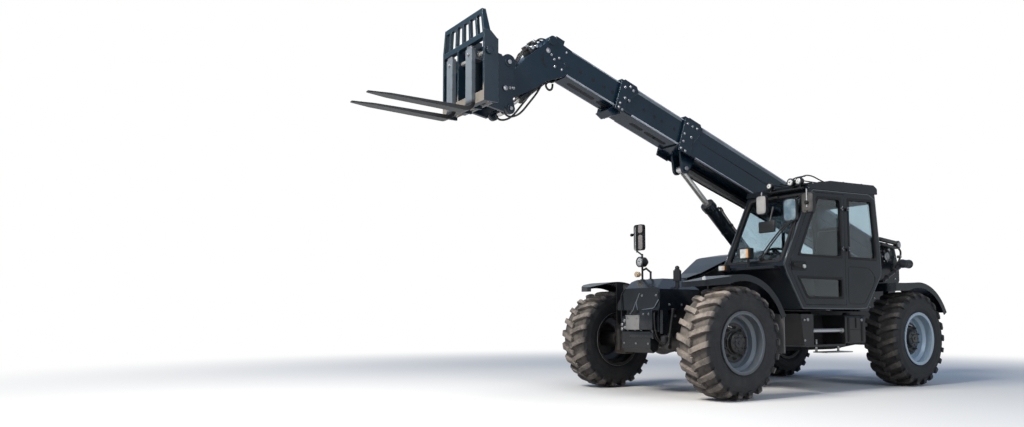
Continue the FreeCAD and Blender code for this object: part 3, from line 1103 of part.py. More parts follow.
def head_lamps():
    """Two boxed headlamps on brackets from the ledge below the windscreen."""
    pieces = []
    for x, y, z, width, height in HEAD_LAMPS:
        body = box(x - 85, x, y - width / 2, y + width / 2, z - height / 2, z + height / 2)
        pieces.append(body.makeFillet(14, body.Edges))
    low, high = HEAD_LAMPS
    pieces.append(rod((high[0] - 70, high[1], LEDGE_TOP_Z), (high[0] - 70, high[1], high[2] - high[4] / 2 + 5), 14))
    pieces.append(box(LEDGE_FRONT_X, low[0] - 75, low[1] - 30, low[1] + 30, LEDGE_TOP_Z - 25, LEDGE_TOP_Z - 5))
    return Part.makeCompound([fuse([pieces[0], pieces[3]]), fuse([pieces[1], pieces[2]])])


def mirror_head(x, y, z, width, height):
    """Upright mirror housing with rounded corners."""
    body = box(x, x + 45, y - width / 2, y + width / 2, z - height / 2, z + height / 2)
    return body.makeFillet(width / 5, [edge for edge in body.Edges if edge.BoundBox.XLength > 40])


def cab_mirrors():
    """Mirror on the left front pillar and a second one hung from the lamp rail."""
    left = fuse([
        mirror_head(605, 1305, 2255, 160, 240),
        rod((650, 1305, 2200), (650, 1305, 2420), 8),
        rod((650, 1305, 2415), (450, 1178, 2415), 10),
        rod((640, 1305, 2255), (668, 1305, 2255), 22),
    ])
    left = left.cut(plate_xz(CAB_PROFILE, CAB_INNER_Y, CAB_OUTER_Y))
    x = ROOF_RAIL_X
    right = fuse([
        mirror_head(x + 120, 670, 2300, 150, 230),
        rod((x + 140, 670, 2400), (x + 140, 670, ROOF_RAIL_Z), 8),
        rod((x + 140, 670, ROOF_RAIL_Z), (x + 13, 670, ROOF_RAIL_Z), 8),
    ])
    right = right.cut(rod((x, 600, ROOF_RAIL_Z), (x, 1200, ROOF_RAIL_Z), 14 + GAP))
    return Part.makeCompound([left, right])


def nose_mirror():
    """Tall mirror with a round lamp on a tube bow that stands on the hood's right."""
    x, y, base = NOSE_MIRROR
    bow_y, bow_z = y + 70, base + 140
    foot_y, elbow_z = y + 150, base + 90
    pieces = [
        rod((x, y, base), (x, y, base + 330), 13),
        rod((x, foot_y, base), (x, foot_y, elbow_z), 13),
        rod((x, y, base + 120), (x, bow_y, bow_z), 12),
        rod((x, bow_y, bow_z), (x, foot_y, elbow_z), 12),
        Part.makeSphere(15, Vector(x, bow_y, bow_z)),
        Part.makeSphere(15.5, Vector(x, foot_y, elbow_z)),
        lamp(x + 60, y + 20, base + 225, 62, 80),
        rod((x + 5, y, base + 318), (x + 5, y - 90, base + 370), 10),
        rod((x + 5, y - 90, base + 355), (x + 5, y - 90, base + 620), 11),
        mirror_head(x - 35, y - 60, base + 545, 170, 330),
    ]
    for each_y in (y, foot_y):
        pieces.append(rod((x, each_y, base), (x, each_y, base + 8), 28))
    return fuse(pieces)


def rear_lamp():
    """Work lamp on a diagonal arm from the tower's left plate."""
    y = 400
    foot, head = REAR_LAMP_FOOT, REAR_LAMP_HEAD
    plate = TOWER_OUTER_Y
    pieces = [
        rod((foot[0], plate, foot[1]), (foot[0], y + 16, foot[1]), 22),
        rod((foot[0], y, foot[1]), (head[0], y, head[1]), 16),
        rod((head[0] - 20, y, head[1] + 10), (head[0] - 150, y, head[1] + 10), 62),
        Part.makeCone(38, 62, 40, Vector(head[0] + 20, y, head[1] + 10), Vector(-1, 0, 0)),
    ]
    return fuse(pieces)


def save_all():
    """Build and write every node."""
    save("chassis_frame", chassis_frame())
    save("boom_tower", boom_tower())
    save("counterweight", counterweight())
    front_x, rear_x = WHEELBASE / 2, -WHEELBASE / 2
    save("front_axle", axle(front_x))
    save("rear_axle", axle(rear_x))
    tyre = tyre_at_origin()
    for end, x, form in (("front", front_x, FRONT_FENDER), ("rear", rear_x, REAR_FENDER)):
        for hand, side in (("left", 1), ("right", -1)):
            place = end + "_" + hand
            save("knuckle_" + place, knuckle(x, side))
            save("rim_" + place, rim(x, side))
            placed = tyre.copy()
            placed.translate(Vector(x, side * TRACK / 2, TYRE_RADIUS))
            save("tyre_" + place, placed)
            save("fender_" + place, fender(x, side, form))
            if end == "front":
                save("flap_" + place, mud_flap(x, side, form))
    save("boom_outer", boom_outer())
    save("boom_mid", boom_mid())
    save("boom_inner", boom_inner())
    barrel, piston = ram_parts(LIFT_FOOT, LIFT_EYE, LIFT_BARREL_RADIUS, LIFT_ROD_RADIUS, LIFT_ROD_SHOWN,
                               LIFT_ROD_STROKE_IN, LIFT_PIN_RADIUS, 40, 42, 85)
    save("lift_barrel", barrel)
    save("lift_rod", piston)
    barrel, piston = ram_parts(TILT_FOOT, COUPLER_EYE, TILT_BARREL_RADIUS, TILT_ROD_RADIUS, TILT_ROD_SHOWN,
                               TILT_ROD_STROKE_IN, TILT_PIN_RADIUS, 40, 34, 90)
    save("tilt_barrel", barrel)
    save("tilt_rod", piston)
    save("coupler", coupler())
    save("carriage", carriage())
    save("fork_left", fork(1))
    save("fork_right", fork(-1))
    save("fork_shaft", fork_shaft())
    save("cab_shell", cab_shell())
    save("cab_roof", cab_roof())
    save("cab_glass", cab_glass())
    save("cab_seat", cab_seat())
    save("cab_console", cab_console())
    save("door_frame", door_frame())
    save("door_glass", door_glass())
    save("bonnet", bonnet())
    save("bay_wall", bay_wall())
    save("engine_tray", engine_tray())
    save("engine_block", engine_block())
    save("step_box", step_box())
    save("step_bar", step_bar())
    save("fuel_tank", fuel_tank())
    save("front_nose", front_nose())
    save("air_post", air_post())
    save("roof_lamps", roof_lamps())
    save("head_lamps", head_lamps())
    save("cab_mirrors", cab_mirrors())
    save("nose_mirror", nose_mirror())
    save("rear_lamp", rear_lamp())


save_all()
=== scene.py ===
# %% [markdown]
# # Telescopic handler with pallet forks
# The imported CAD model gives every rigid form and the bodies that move. This lesson dresses it:
# a camera and a plain studio, procedural materials, and then the small forms that ride on each body,
# such as bolts, pipes, lenses, seals and the driver's seat.
# Everything is in metres. +X is forward, +Y is the machine's left and +Z is up.

# %% Load the frame
import bmesh
import bpy
import math
from mathutils import Matrix, Vector


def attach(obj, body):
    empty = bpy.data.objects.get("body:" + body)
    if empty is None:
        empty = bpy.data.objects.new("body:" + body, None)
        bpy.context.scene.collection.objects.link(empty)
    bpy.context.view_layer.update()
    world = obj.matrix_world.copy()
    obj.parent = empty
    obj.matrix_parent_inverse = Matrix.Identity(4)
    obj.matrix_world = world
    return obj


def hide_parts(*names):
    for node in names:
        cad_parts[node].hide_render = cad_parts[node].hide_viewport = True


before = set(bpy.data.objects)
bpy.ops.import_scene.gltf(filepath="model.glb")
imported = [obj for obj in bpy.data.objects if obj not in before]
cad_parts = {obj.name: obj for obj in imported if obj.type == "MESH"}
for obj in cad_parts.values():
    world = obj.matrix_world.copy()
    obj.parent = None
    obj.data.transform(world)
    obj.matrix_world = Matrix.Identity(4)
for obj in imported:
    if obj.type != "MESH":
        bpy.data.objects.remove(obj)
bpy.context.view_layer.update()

# %% [markdown]
# ## Camera
# The camera stands low at the machine's front left corner and looks a little upwards. A small shift
# keeps the uprights upright, as in the picture that the view follows.

# %% Camera
IMAGE_WIDTH = 1024
FOCAL_PIXELS = 774.2
CENTRE_DROP_PIXELS = 51.2
SENSOR = 36.0
CAMERA_PLACE = Vector((8.457, 6.979, 0.893))
CAMERA_LOOK = Vector((-0.5428, -0.8369, 0.0698))

camera_data = bpy.data.cameras.new("camera")
camera_data.sensor_width = SENSOR
camera_data.lens = FOCAL_PIXELS / IMAGE_WIDTH * SENSOR
camera_data.shift_y = CENTRE_DROP_PIXELS / IMAGE_WIDTH
camera = bpy.data.objects.new("camera", camera_data)
camera.location = CAMERA_PLACE
camera.rotation_euler = CAMERA_LOOK.to_track_quat("-Z", "Y").to_euler()
bpy.context.scene.collection.objects.link(camera)
bpy.context.scene.camera = camera
bpy.context.scene.view_settings.view_transform = "Standard"
print("lens", round(camera_data.lens, 2), "mm")

# %% [markdown]
# ## Node helpers
# A small class adds shader nodes and links them in one call. A link is given as another node's output.

# %% Node helpers
class Net:
    """A node tree that is filled with short calls."""

    def __init__(self, tree):
        self.tree = tree
        self.tree.nodes.clear()

    def add(self, kind, inputs=None, **settings):
        node = self.tree.nodes.new(kind)
        for key, value in settings.items():
            setattr(node, key, value)
        for key, value in (inputs or {}).items():
            if isinstance(value, bpy.types.NodeSocket):
                self.tree.links.new(value, node.inputs[key])
            else:
                node.inputs[key].default_value = value
        return node

    def math(self, operation, a, b=0.0, clamp=False):
        return self.add("ShaderNodeMath", {0: a, 1: b}, operation=operation, use_clamp=clamp).outputs[0]

    def ramp(self, value, low, high, to_low=0.0, to_high=1.0):
        node = self.add("ShaderNodeMapRange", {"Value": value, "From Min": low, "From Max": high,
                                               "To Min": to_low, "To Max": to_high}, interpolation_type="SMOOTHSTEP")
        return node.outputs["Result"]

    def noise(self, scale, detail=4.0, vector=None, rough=0.6):
        inputs = {"Scale": scale, "Detail": detail, "Roughness": rough}
        if vector is not None:
            inputs["Vector"] = vector
        return self.add("ShaderNodeTexNoise", inputs).outputs["Fac"]

    def mix(self, factor, a, b):
        node = self.add("ShaderNodeMix", {"Factor": factor}, data_type="RGBA")
        for socket, value in ((node.inputs[6], a), (node.inputs[7], b)):
            if isinstance(value, bpy.types.NodeSocket):
                self.tree.links.new(value, socket)
            else:
                socket.default_value = value
        return node.outputs[2]

    def place(self):
        return self.add("ShaderNodeTexCoord").outputs["Object"]


def new_group(name, inputs, outputs):
    """Shader node group with float inputs and outputs, and the net to fill it."""
    tree = bpy.data.node_groups.new(name, "ShaderNodeTree")
    for label, value in inputs.items():
        socket = tree.interface.new_socket(label, in_out="INPUT", socket_type="NodeSocketFloat")
        socket.default_value = value
    for label, kind in outputs.items():
        tree.interface.new_socket(label, in_out="OUTPUT", socket_type=kind)
    return tree, Net(tree)


print("node helpers ready")

# %% [markdown]
# ## Shared effects
# Four effects are used by many materials: dust that lies low and on upward faces, wear along edges,
# fine uneven grain, and the distance from the nearest wheel's axis. Each is a group that gives a mask or
# a normal.

# %% Shared effects
WHEEL_X = 1.73
WHEEL_Y = 1.04
WHEEL_Z = 0.63

dust_group, net = new_group("dust", {"Height": 1.1, "Amount": 1.0, "On Top": 0.5}, {"Mask": "NodeSocketFloat"})
given = net.add("NodeGroupInput").outputs
place = net.place()
height = net.add("ShaderNodeSeparateXYZ", {0: place}).outputs["Z"]
up = net.add("ShaderNodeSeparateXYZ", {0: net.add("ShaderNodeNewGeometry").outputs["Normal"]}).outputs["Z"]
low = net.math("SUBTRACT", 1.0, net.math("DIVIDE", height, given["Height"]), clamp=True)
patches = net.ramp(net.noise(3.5, 6.0, place), 0.35, 0.7)
specks = net.ramp(net.noise(55.0, 3.0, place), 0.45, 0.75)
lying = net.math("MULTIPLY", net.ramp(up, 0.35, 0.95), given["On Top"])
film = net.math("MULTIPLY", low, net.math("ADD", net.math("MULTIPLY", patches, 0.7), 0.3))
both = net.math("ADD", film, net.math("MULTIPLY", lying, net.math("ADD", patches, 0.25)))
broken = net.math("MULTIPLY", both, net.math("ADD", net.math("MULTIPLY", specks, 0.6), 0.5))
mask = net.math("MULTIPLY", broken, given["Amount"], clamp=True)
net.add("NodeGroupOutput", {"Mask": mask})

edge_group, net = new_group("edge_wear", {"Radius": 0.006, "Amount": 0.5}, {"Mask": "NodeSocketFloat"})
given = net.add("NodeGroupInput").outputs
place = net.place()
rounded = net.add("ShaderNodeBevel", {"Radius": given["Radius"]}, samples=4).outputs["Normal"]
true_normal = net.add("ShaderNodeNewGeometry").outputs["Normal"]
facing = net.add("ShaderNodeVectorMath", {0: rounded, 1: true_normal}, operation="DOT_PRODUCT").outputs["Value"]
bend = net.ramp(net.math("SUBTRACT", 1.0, facing), 0.01, 0.12)
chips = net.ramp(net.noise(38.0, 6.0, place, 0.7), 0.42, 0.62)
mask = net.math("MULTIPLY", net.math("MULTIPLY", bend, chips), given["Amount"], clamp=True)
net.add("NodeGroupOutput", {"Mask": mask})

grain_group, net = new_group("grain", {"Scale": 220.0, "Strength": 0.1, "Radius": 0.003},
                             {"Normal": "NodeSocketVector", "Value": "NodeSocketFloat"})
given = net.add("NodeGroupInput").outputs
place = net.place()
fine = net.add("ShaderNodeTexNoise", {"Vector": place, "Scale": given["Scale"], "Detail": 3.0}).outputs["Fac"]
rounded = net.add("ShaderNodeBevel", {"Radius": given["Radius"]}, samples=4).outputs["Normal"]
bump = net.add("ShaderNodeBump", {"Strength": given["Strength"], "Distance": 0.002, "Height": fine,
                                  "Normal": rounded})
net.add("NodeGroupOutput", {"Normal": bump.outputs["Normal"], "Value": fine})

wheel_group, net = new_group("wheel_radius", {}, {"Radius": "NodeSocketFloat", "Outward": "NodeSocketFloat"})
parts = net.add("ShaderNodeSeparateXYZ", {0: net.place()}).outputs
along_x = net.math("SUBTRACT", net.math("ABSOLUTE", parts["X"]), WHEEL_X)
along_z = net.math("SUBTRACT", parts["Z"], WHEEL_Z)
squares = net.math("ADD", net.math("POWER", along_x, 2.0), net.math("POWER", along_z, 2.0))
outward = net.math("SUBTRACT", net.math("ABSOLUTE", parts["Y"]), WHEEL_Y)
net.add("NodeGroupOutput", {"Radius": net.math("SQRT", squares), "Outward": outward})
print("groups:", ", ".join(g.name for g in (dust_group, edge_group, grain_group, wheel_group)))

# %% [markdown]
# ## Materials
# Every finish starts from one function: a colour that noise varies, dust and edge wear mixed over it, and
# roughness and bump from the same noises. The function's arguments tell one finish from another.

# %% Materials
DUST = (0.42, 0.33, 0.235, 1.0)


def finish_material(name, colour, second, rough, rough_spread=0.12, metallic=0.0, coat=0.0, patch_scale=2.2,
                    dust_height=1.1, dust_amount=0.8, dust_top=0.35, wear=0.0, wear_colour=(0.2, 0.2, 0.21, 1.0),
                    grain_scale=220.0, grain=0.08, edge=0.003, specular=0.5, dust_colour=DUST):
    """Material with patchy colour, dust, worn edges and grain."""
    material = bpy.data.materials.new(name)
    material.use_nodes = True
    net = Net(material.node_tree)
    place = net.place()
    patches = net.noise(patch_scale, 6.0, place)
    base = net.mix(net.ramp(patches, 0.35, 0.68), colour, second)
    dust = net.add("ShaderNodeGroup", node_tree=dust_group)
    dust.inputs["Height"].default_value = dust_height
    dust.inputs["Amount"].default_value = dust_amount
    dust.inputs["On Top"].default_value = dust_top
    if wear:
        worn = net.add("ShaderNodeGroup", node_tree=edge_group)
        worn.inputs["Amount"].default_value = wear
        base = net.mix(worn.outputs["Mask"], base, wear_colour)
    base = net.mix(dust.outputs["Mask"], base, dust_colour)
    grain_node = net.add("ShaderNodeGroup", node_tree=grain_group)
    grain_node.inputs["Scale"].default_value = grain_scale
    grain_node.inputs["Strength"].default_value = grain
    grain_node.inputs["Radius"].default_value = edge
    spread = net.math("MULTIPLY", net.math("SUBTRACT", patches, 0.5), rough_spread * 2)
    roughness = net.math("ADD", net.math("ADD", spread, rough), net.math("MULTIPLY", dust.outputs["Mask"], 0.5),
                         clamp=True)
    shader = net.add("ShaderNodeBsdfPrincipled", {"Base Color": base, "Roughness": roughness, "Metallic": metallic,
                                                  "Coat Weight": coat, "Specular IOR Level": specular,
                                                  "Normal": grain_node.outputs["Normal"]})
    net.add("ShaderNodeOutputMaterial", {"Surface": shader.outputs[0]})
    return material


paint = finish_material("black_paint", (0.006, 0.0085, 0.012, 1), (0.01, 0.0135, 0.0185, 1), 0.24, 0.06, coat=0.1,
                        dust_height=0.9, dust_amount=0.16, dust_top=0.08, wear=0.3, grain=0.03, edge=0.006,
                        specular=0.34)
# The boom's black paint is tinted slate blue; the tint is a painted sky reflection.
boom_paint_and_painted_sky = finish_material("boom_paint_and_painted_sky", (0.005, 0.017, 0.03, 1), (0.008, 0.022, 0.038, 1), 0.22, 0.05, coat=0.12,
                             dust_height=0.8, dust_amount=0.2, dust_top=0.06, wear=0.45, grain=0.02, edge=0.016,
                             wear_colour=(0.2, 0.24, 0.28, 1), specular=0.38)
plastic = finish_material("black_plastic", (0.01, 0.011, 0.012, 1), (0.018, 0.019, 0.021, 1), 0.36, 0.1,
                          dust_height=1.0, dust_amount=0.18, dust_top=0.1, grain=0.1, specular=0.35)
cast = finish_material("cast_grey", (0.014, 0.015, 0.017, 1), (0.028, 0.03, 0.033, 1), 0.42, 0.15, metallic=0.2,
                       dust_height=1.1, dust_amount=0.35, dust_top=0.2, wear=0.6, grain_scale=120.0, grain=0.25)
frame_paint = finish_material("frame_paint", (0.011, 0.012, 0.014, 1), (0.02, 0.022, 0.025, 1), 0.34, 0.1,
                              dust_height=1.0, dust_amount=0.16, dust_top=0.12, wear=0.4, grain=0.08, edge=0.005, specular=0.34)
steel = finish_material("worn_steel", (0.03, 0.031, 0.034, 1), (0.07, 0.072, 0.076, 1), 0.38, 0.12, metallic=0.6,
                        dust_height=1.0, dust_amount=0.4, dust_top=0.1, wear=0.9, wear_colour=(0.4, 0.4, 0.4, 1),
                        patch_scale=6.0, grain=0.12)
bright = finish_material("bright_rod", (0.72, 0.7, 0.67, 1), (0.62, 0.6, 0.57, 1), 0.2, 0.05, metallic=0.75,
                         dust_height=0.7, dust_amount=0.3, dust_top=0.0, grain=0.01)
zinc = finish_material("zinc_bolt", (0.36, 0.36, 0.37, 1), (0.24, 0.24, 0.25, 1), 0.33, 0.12, metallic=0.8,
                       dust_height=0.9, dust_amount=0.3, dust_top=0.1, grain=0.08)
rubber = finish_material("rubber_seal", (0.007, 0.007, 0.008, 1), (0.012, 0.012, 0.013, 1), 0.6, 0.1,
                         dust_height=0.8, dust_amount=0.2, dust_top=0.1, grain=0.1, specular=0.3)
hose_rubber = finish_material("hose_rubber", (0.008, 0.008, 0.009, 1), (0.014, 0.014, 0.015, 1), 0.46, 0.1,
                              dust_height=0.9, dust_amount=0.25, dust_top=0.1, grain=0.15, grain_scale=400.0)
flap_rubber = finish_material("flap_rubber", (0.16, 0.16, 0.155, 1), (0.26, 0.255, 0.245, 1), 0.7, 0.1, dust_height=1.2,
                              dust_amount=0.3, dust_top=0.2, grain=0.25, grain_scale=120.0)
tray_grey = finish_material("tray_grey", (0.28, 0.27, 0.26, 1), (0.36, 0.35, 0.34, 1), 0.45, 0.1, metallic=0.3,
                            dust_height=1.0, dust_amount=0.2, dust_top=0.1, wear=0.3, grain=0.08)
silver = finish_material("step_silver", (0.5, 0.5, 0.5, 1), (0.62, 0.62, 0.61, 1), 0.3, 0.1, metallic=0.7,
                         dust_height=1.0, dust_amount=0.3, dust_top=0.1, wear=0.2, grain=0.15)
# Pale rolled edges: a painted highlight along the boom's corners.
edge_highlight_paint = finish_material("painted_highlight_edge", (0.5, 0.54, 0.58, 1), (0.22, 0.25, 0.29, 1), 0.22, 0.06, coat=0.3,
                             dust_height=0.8, dust_amount=0.1, dust_top=0.0, patch_scale=1.4, grain=0.02)
# Pale strips under the boom's top edges and along the hood's edges: a painted highlight.
highlight_band_paint = finish_material("painted_highlight_band", (0.15, 0.175, 0.2, 1), (0.07, 0.085, 0.1, 1), 0.2, 0.05, coat=0.3,
                                  dust_amount=0.05, patch_scale=1.2, grain=0.02)
# Paler cab edges: a painted highlight along the cab's outline.
cab_edge_highlight_paint = finish_material("cab_painted_highlight_edge", (0.075, 0.09, 0.1, 1), (0.04, 0.05, 0.06, 1), 0.22, 0.05, coat=0.4,
                             dust_amount=0.05, grain=0.02)
lamp_white = finish_material("lamp_white", (0.66, 0.67, 0.64, 1), (0.4, 0.42, 0.43, 1), 0.12, 0.04, dust_amount=0.05,
                             patch_scale=14.0, grain_scale=70.0, grain=0.35)
lamp_amber = finish_material("lamp_amber", (0.85, 0.36, 0.05, 1), (0.7, 0.26, 0.03, 1), 0.14, 0.04, dust_amount=0.05,
                             patch_scale=14.0, grain_scale=90.0, grain=0.35)
lamp_pale = finish_material("lamp_pale", (0.7, 0.55, 0.36, 1), (0.6, 0.44, 0.26, 1), 0.14, 0.04, dust_amount=0.05,
                            patch_scale=14.0, grain_scale=90.0, grain=0.35)
mirror_back = finish_material("mirror_back", (0.05, 0.048, 0.046, 1), (0.11, 0.105, 0.1, 1), 0.34, 0.08,
                              dust_amount=0.1, patch_scale=6.0, grain=0.06, edge=0.012)
mirror_grey = finish_material("mirror_grey", (0.24, 0.24, 0.24, 1), (0.36, 0.355, 0.35, 1), 0.3, 0.08,
                              dust_amount=0.05, patch_scale=5.0, grain=0.05, edge=0.012)
print(len(bpy.data.materials), "materials so far")

# %% [markdown]
# Tyres and rims change with the distance from the wheel's axis, so they use the wheel group. The same
# material serves all four wheels, because the axles lie the same distance before and behind the origin.
# Front and rear still differ by painted light: the rear tyres' dust is dimmed as painted shade, the rear
# rims are painted paler as lit, and the front rims' flanges darker as shade.

# %% Wheel materials
tyre_rubber = bpy.data.materials.new("tyre_rubber")
tyre_rubber.use_nodes = True
net = Net(tyre_rubber.node_tree)
place = net.place()
wheel = net.add("ShaderNodeGroup", node_tree=wheel_group).outputs
tread = net.ramp(wheel["Radius"], 0.56, 0.595)
crown = net.ramp(wheel["Radius"], 0.6, 0.63)
clumps = net.ramp(net.noise(7.0, 8.0, place, 0.65), 0.36, 0.62)
streaks = net.ramp(net.noise(38.0, 5.0, place, 0.7), 0.35, 0.7)
side_film = net.math("MULTIPLY", net.ramp(net.noise(4.0, 6.0, place), 0.4, 0.75), 0.07)
bars = net.math("MULTIPLY", tread, net.math("ADD", net.math("MULTIPLY", clumps, 0.55), 0.3))
worn = net.math("MULTIPLY", crown, net.math("MULTIPLY", streaks, 0.35))
# The rear tyres' dust is dimmed to 30 % as painted shade.
front_lit_rear_shaded = net.ramp(net.add("ShaderNodeSeparateXYZ", {0: place}).outputs["X"], -0.5, 0.5, 0.3, 1.0)
dust_and_rear_shade = net.math("MULTIPLY", net.math("ADD", net.math("ADD", side_film, bars), worn), front_lit_rear_shaded, clamp=True)
carcass = net.mix(net.noise(24.0, 4.0, place), (0.011, 0.012, 0.013, 1), (0.026, 0.027, 0.029, 1))
colour = net.mix(dust_and_rear_shade, carcass, (0.32, 0.275, 0.235, 1))
rings = net.math("SINE", net.math("MULTIPLY", wheel["Radius"], 420.0))
ring_mask = net.math("MULTIPLY", net.ramp(net.math("ABSOLUTE", net.math("SUBTRACT", wheel["Radius"], 0.385)),
                                          0.03, 0.012), rings)
rough_height = net.math("ADD", net.math("MULTIPLY", ring_mask, 0.4), net.noise(150.0, 5.0, place))
soft_edge = net.add("ShaderNodeBevel", {"Radius": 0.006}, samples=4).outputs["Normal"]
bump = net.add("ShaderNodeBump", {"Strength": 0.35, "Distance": 0.003, "Height": rough_height, "Normal": soft_edge})
rough = net.math("ADD", 0.62, net.math("MULTIPLY", dust_and_rear_shade, 0.3), clamp=True)
shader = net.add("ShaderNodeBsdfPrincipled", {"Base Color": colour, "Roughness": rough, "Specular IOR Level": 0.35,
                                              "Normal": bump.outputs["Normal"]})
net.add("ShaderNodeOutputMaterial", {"Surface": shader.outputs[0]})

rim_paint = bpy.data.materials.new("rim_paint")
rim_paint.use_nodes = True
net = Net(rim_paint.node_tree)
place = net.place()
wheel = net.add("ShaderNodeGroup", node_tree=wheel_group).outputs
hub = net.ramp(wheel["Radius"], 0.235, 0.205)
flange = net.ramp(wheel["Radius"], 0.3, 0.34)
dirt = net.ramp(net.noise(9.0, 7.0, place, 0.65), 0.38, 0.7)
spots = net.ramp(net.noise(70.0, 4.0, place), 0.5, 0.72)
# Rear rims are painted paler as lit; the front rims' flange ring is painted darker as shade.
behind = net.ramp(net.add("ShaderNodeSeparateXYZ", {0: place}).outputs["X"], 0.5, -0.5)
grey = net.mix(net.noise(3.0, 5.0, place), (0.15, 0.175, 0.2, 1), (0.24, 0.27, 0.3, 1))
grey = net.mix(behind, grey, (0.42, 0.52, 0.6, 1))
grey = net.mix(net.math("MULTIPLY", flange, net.math("MULTIPLY", net.math("SUBTRACT", 1.0, behind), 0.8)), grey,
               (0.075, 0.08, 0.085, 1))
grey = net.mix(net.math("MULTIPLY", hub, 0.95), grey, (0.005, 0.005, 0.006, 1))
# The rim's inner side, towards the machine, is darkened as painted shade.
grey = net.mix(net.ramp(wheel["Outward"], 0.02, -0.06), grey, (0.006, 0.006, 0.007, 1))
# A thin pale ring at the flange on the inner side is a painted highlight.
lip = net.math("MULTIPLY", net.ramp(net.math("ABSOLUTE", net.math("SUBTRACT", wheel["Radius"], 0.357)), 0.012, 0.006),
               net.ramp(wheel["Outward"], -0.1, -0.16))
grey = net.mix(lip, grey, (0.3, 0.29, 0.28, 1))
soiled = net.math("MULTIPLY", net.math("ADD", net.math("MULTIPLY", dirt, 0.14), net.math("MULTIPLY", spots, 0.08)), 0.9)
colour = net.mix(soiled, grey, (0.3, 0.25, 0.19, 1))
grain_node = net.add("ShaderNodeGroup", node_tree=grain_group)
grain_node.inputs["Strength"].default_value = 0.12
rough = net.math("ADD", 0.34, net.math("MULTIPLY", soiled, 0.6), clamp=True)
shader = net.add("ShaderNodeBsdfPrincipled", {"Base Color": colour, "Roughness": rough, "Metallic": 0.1, "Specular IOR Level": 0.4,
                                              "Normal": grain_node.outputs["Normal"]})
net.add("ShaderNodeOutputMaterial", {"Surface": shader.outputs[0]})
print("wheel materials ready")

# %% [markdown]
# Glass is clear with a green-blue tint. Lamp lenses are ribbed by a wave, and mirror faces are polished
# metal with a faint haze. The pink and blue mirror faces carry a painted reflection in their colour.

# %% Clear materials
def clear_material(name, colour, rough, film, bump_scale=0.0, emission=0.0):
    """Clear material with a thin patchy film, and ribs where a scale is given."""
    material = bpy.data.materials.new(name)
    material.use_nodes = True
    net = Net(material.node_tree)
    place = net.place()
    haze = net.math("MULTIPLY", net.ramp(net.noise(5.0, 6.0, place), 0.45, 0.8), film)
    tint = net.mix(haze, colour, (0.62, 0.58, 0.5, 1))
    inputs = {"Base Color": tint, "Roughness": net.math("ADD", haze, rough, clamp=True), "Transmission Weight": 1.0,
              "IOR": 1.45}
    if bump_scale:
        wave = net.add("ShaderNodeTexWave", {"Vector": place, "Scale": bump_scale}, bands_direction="Y")
        inputs["Normal"] = net.add("ShaderNodeBump", {"Strength": 0.35, "Distance": 0.004,
                                                      "Height": wave.outputs["Fac"]}).outputs["Normal"]
    shader = net.add("ShaderNodeBsdfPrincipled", inputs)
    if emission:
        shader.inputs["Emission Color"].default_value = colour
        shader.inputs["Emission Strength"].default_value = emission
    net.add("ShaderNodeOutputMaterial", {"Surface": shader.outputs[0]})
    return material


glass = clear_material("tinted_glass", (0.58, 0.69, 0.74, 1), 0.01, 0.1)
lens = clear_material("lamp_lens", (0.93, 0.95, 0.96, 1), 0.04, 0.1, bump_scale=60.0)
red_lens = clear_material("red_lens", (0.65, 0.03, 0.02, 1), 0.06, 0.1, bump_scale=80.0)
reflector = finish_material("reflector", (0.8, 0.81, 0.82, 1), (0.7, 0.71, 0.72, 1), 0.16, 0.05, metallic=1.0,
                            dust_amount=0.0, grain=0.02)
# Pink and blue mirror faces: painted reflections.
mirror_painted_pink = finish_material("mirror_painted_pink", (0.46, 0.4, 0.37, 1), (0.3, 0.28, 0.27, 1), 0.2, 0.05, metallic=0.6,
                              dust_amount=0.05, grain=0.0)
mirror_painted_blue = finish_material("mirror_painted_blue", (0.13, 0.2, 0.25, 1), (0.32, 0.4, 0.45, 1), 0.18, 0.05, metallic=0.4,
                              dust_amount=0.05, patch_scale=7.0, grain=0.0)
mirror_face = finish_material("mirror_face", (0.72, 0.74, 0.78, 1), (0.6, 0.6, 0.63, 1), 0.05, 0.02, metallic=1.0,
                              dust_amount=0.05, grain=0.0)
print(len(bpy.data.materials), "materials")

# %% [markdown]
# The fork's shanks are rubbed to bare grey by pallets while the blades keep their black paint, and the
# lower cross bar of the carriage is painted tan on its front face as sunlight. Both follow the height in the mesh.

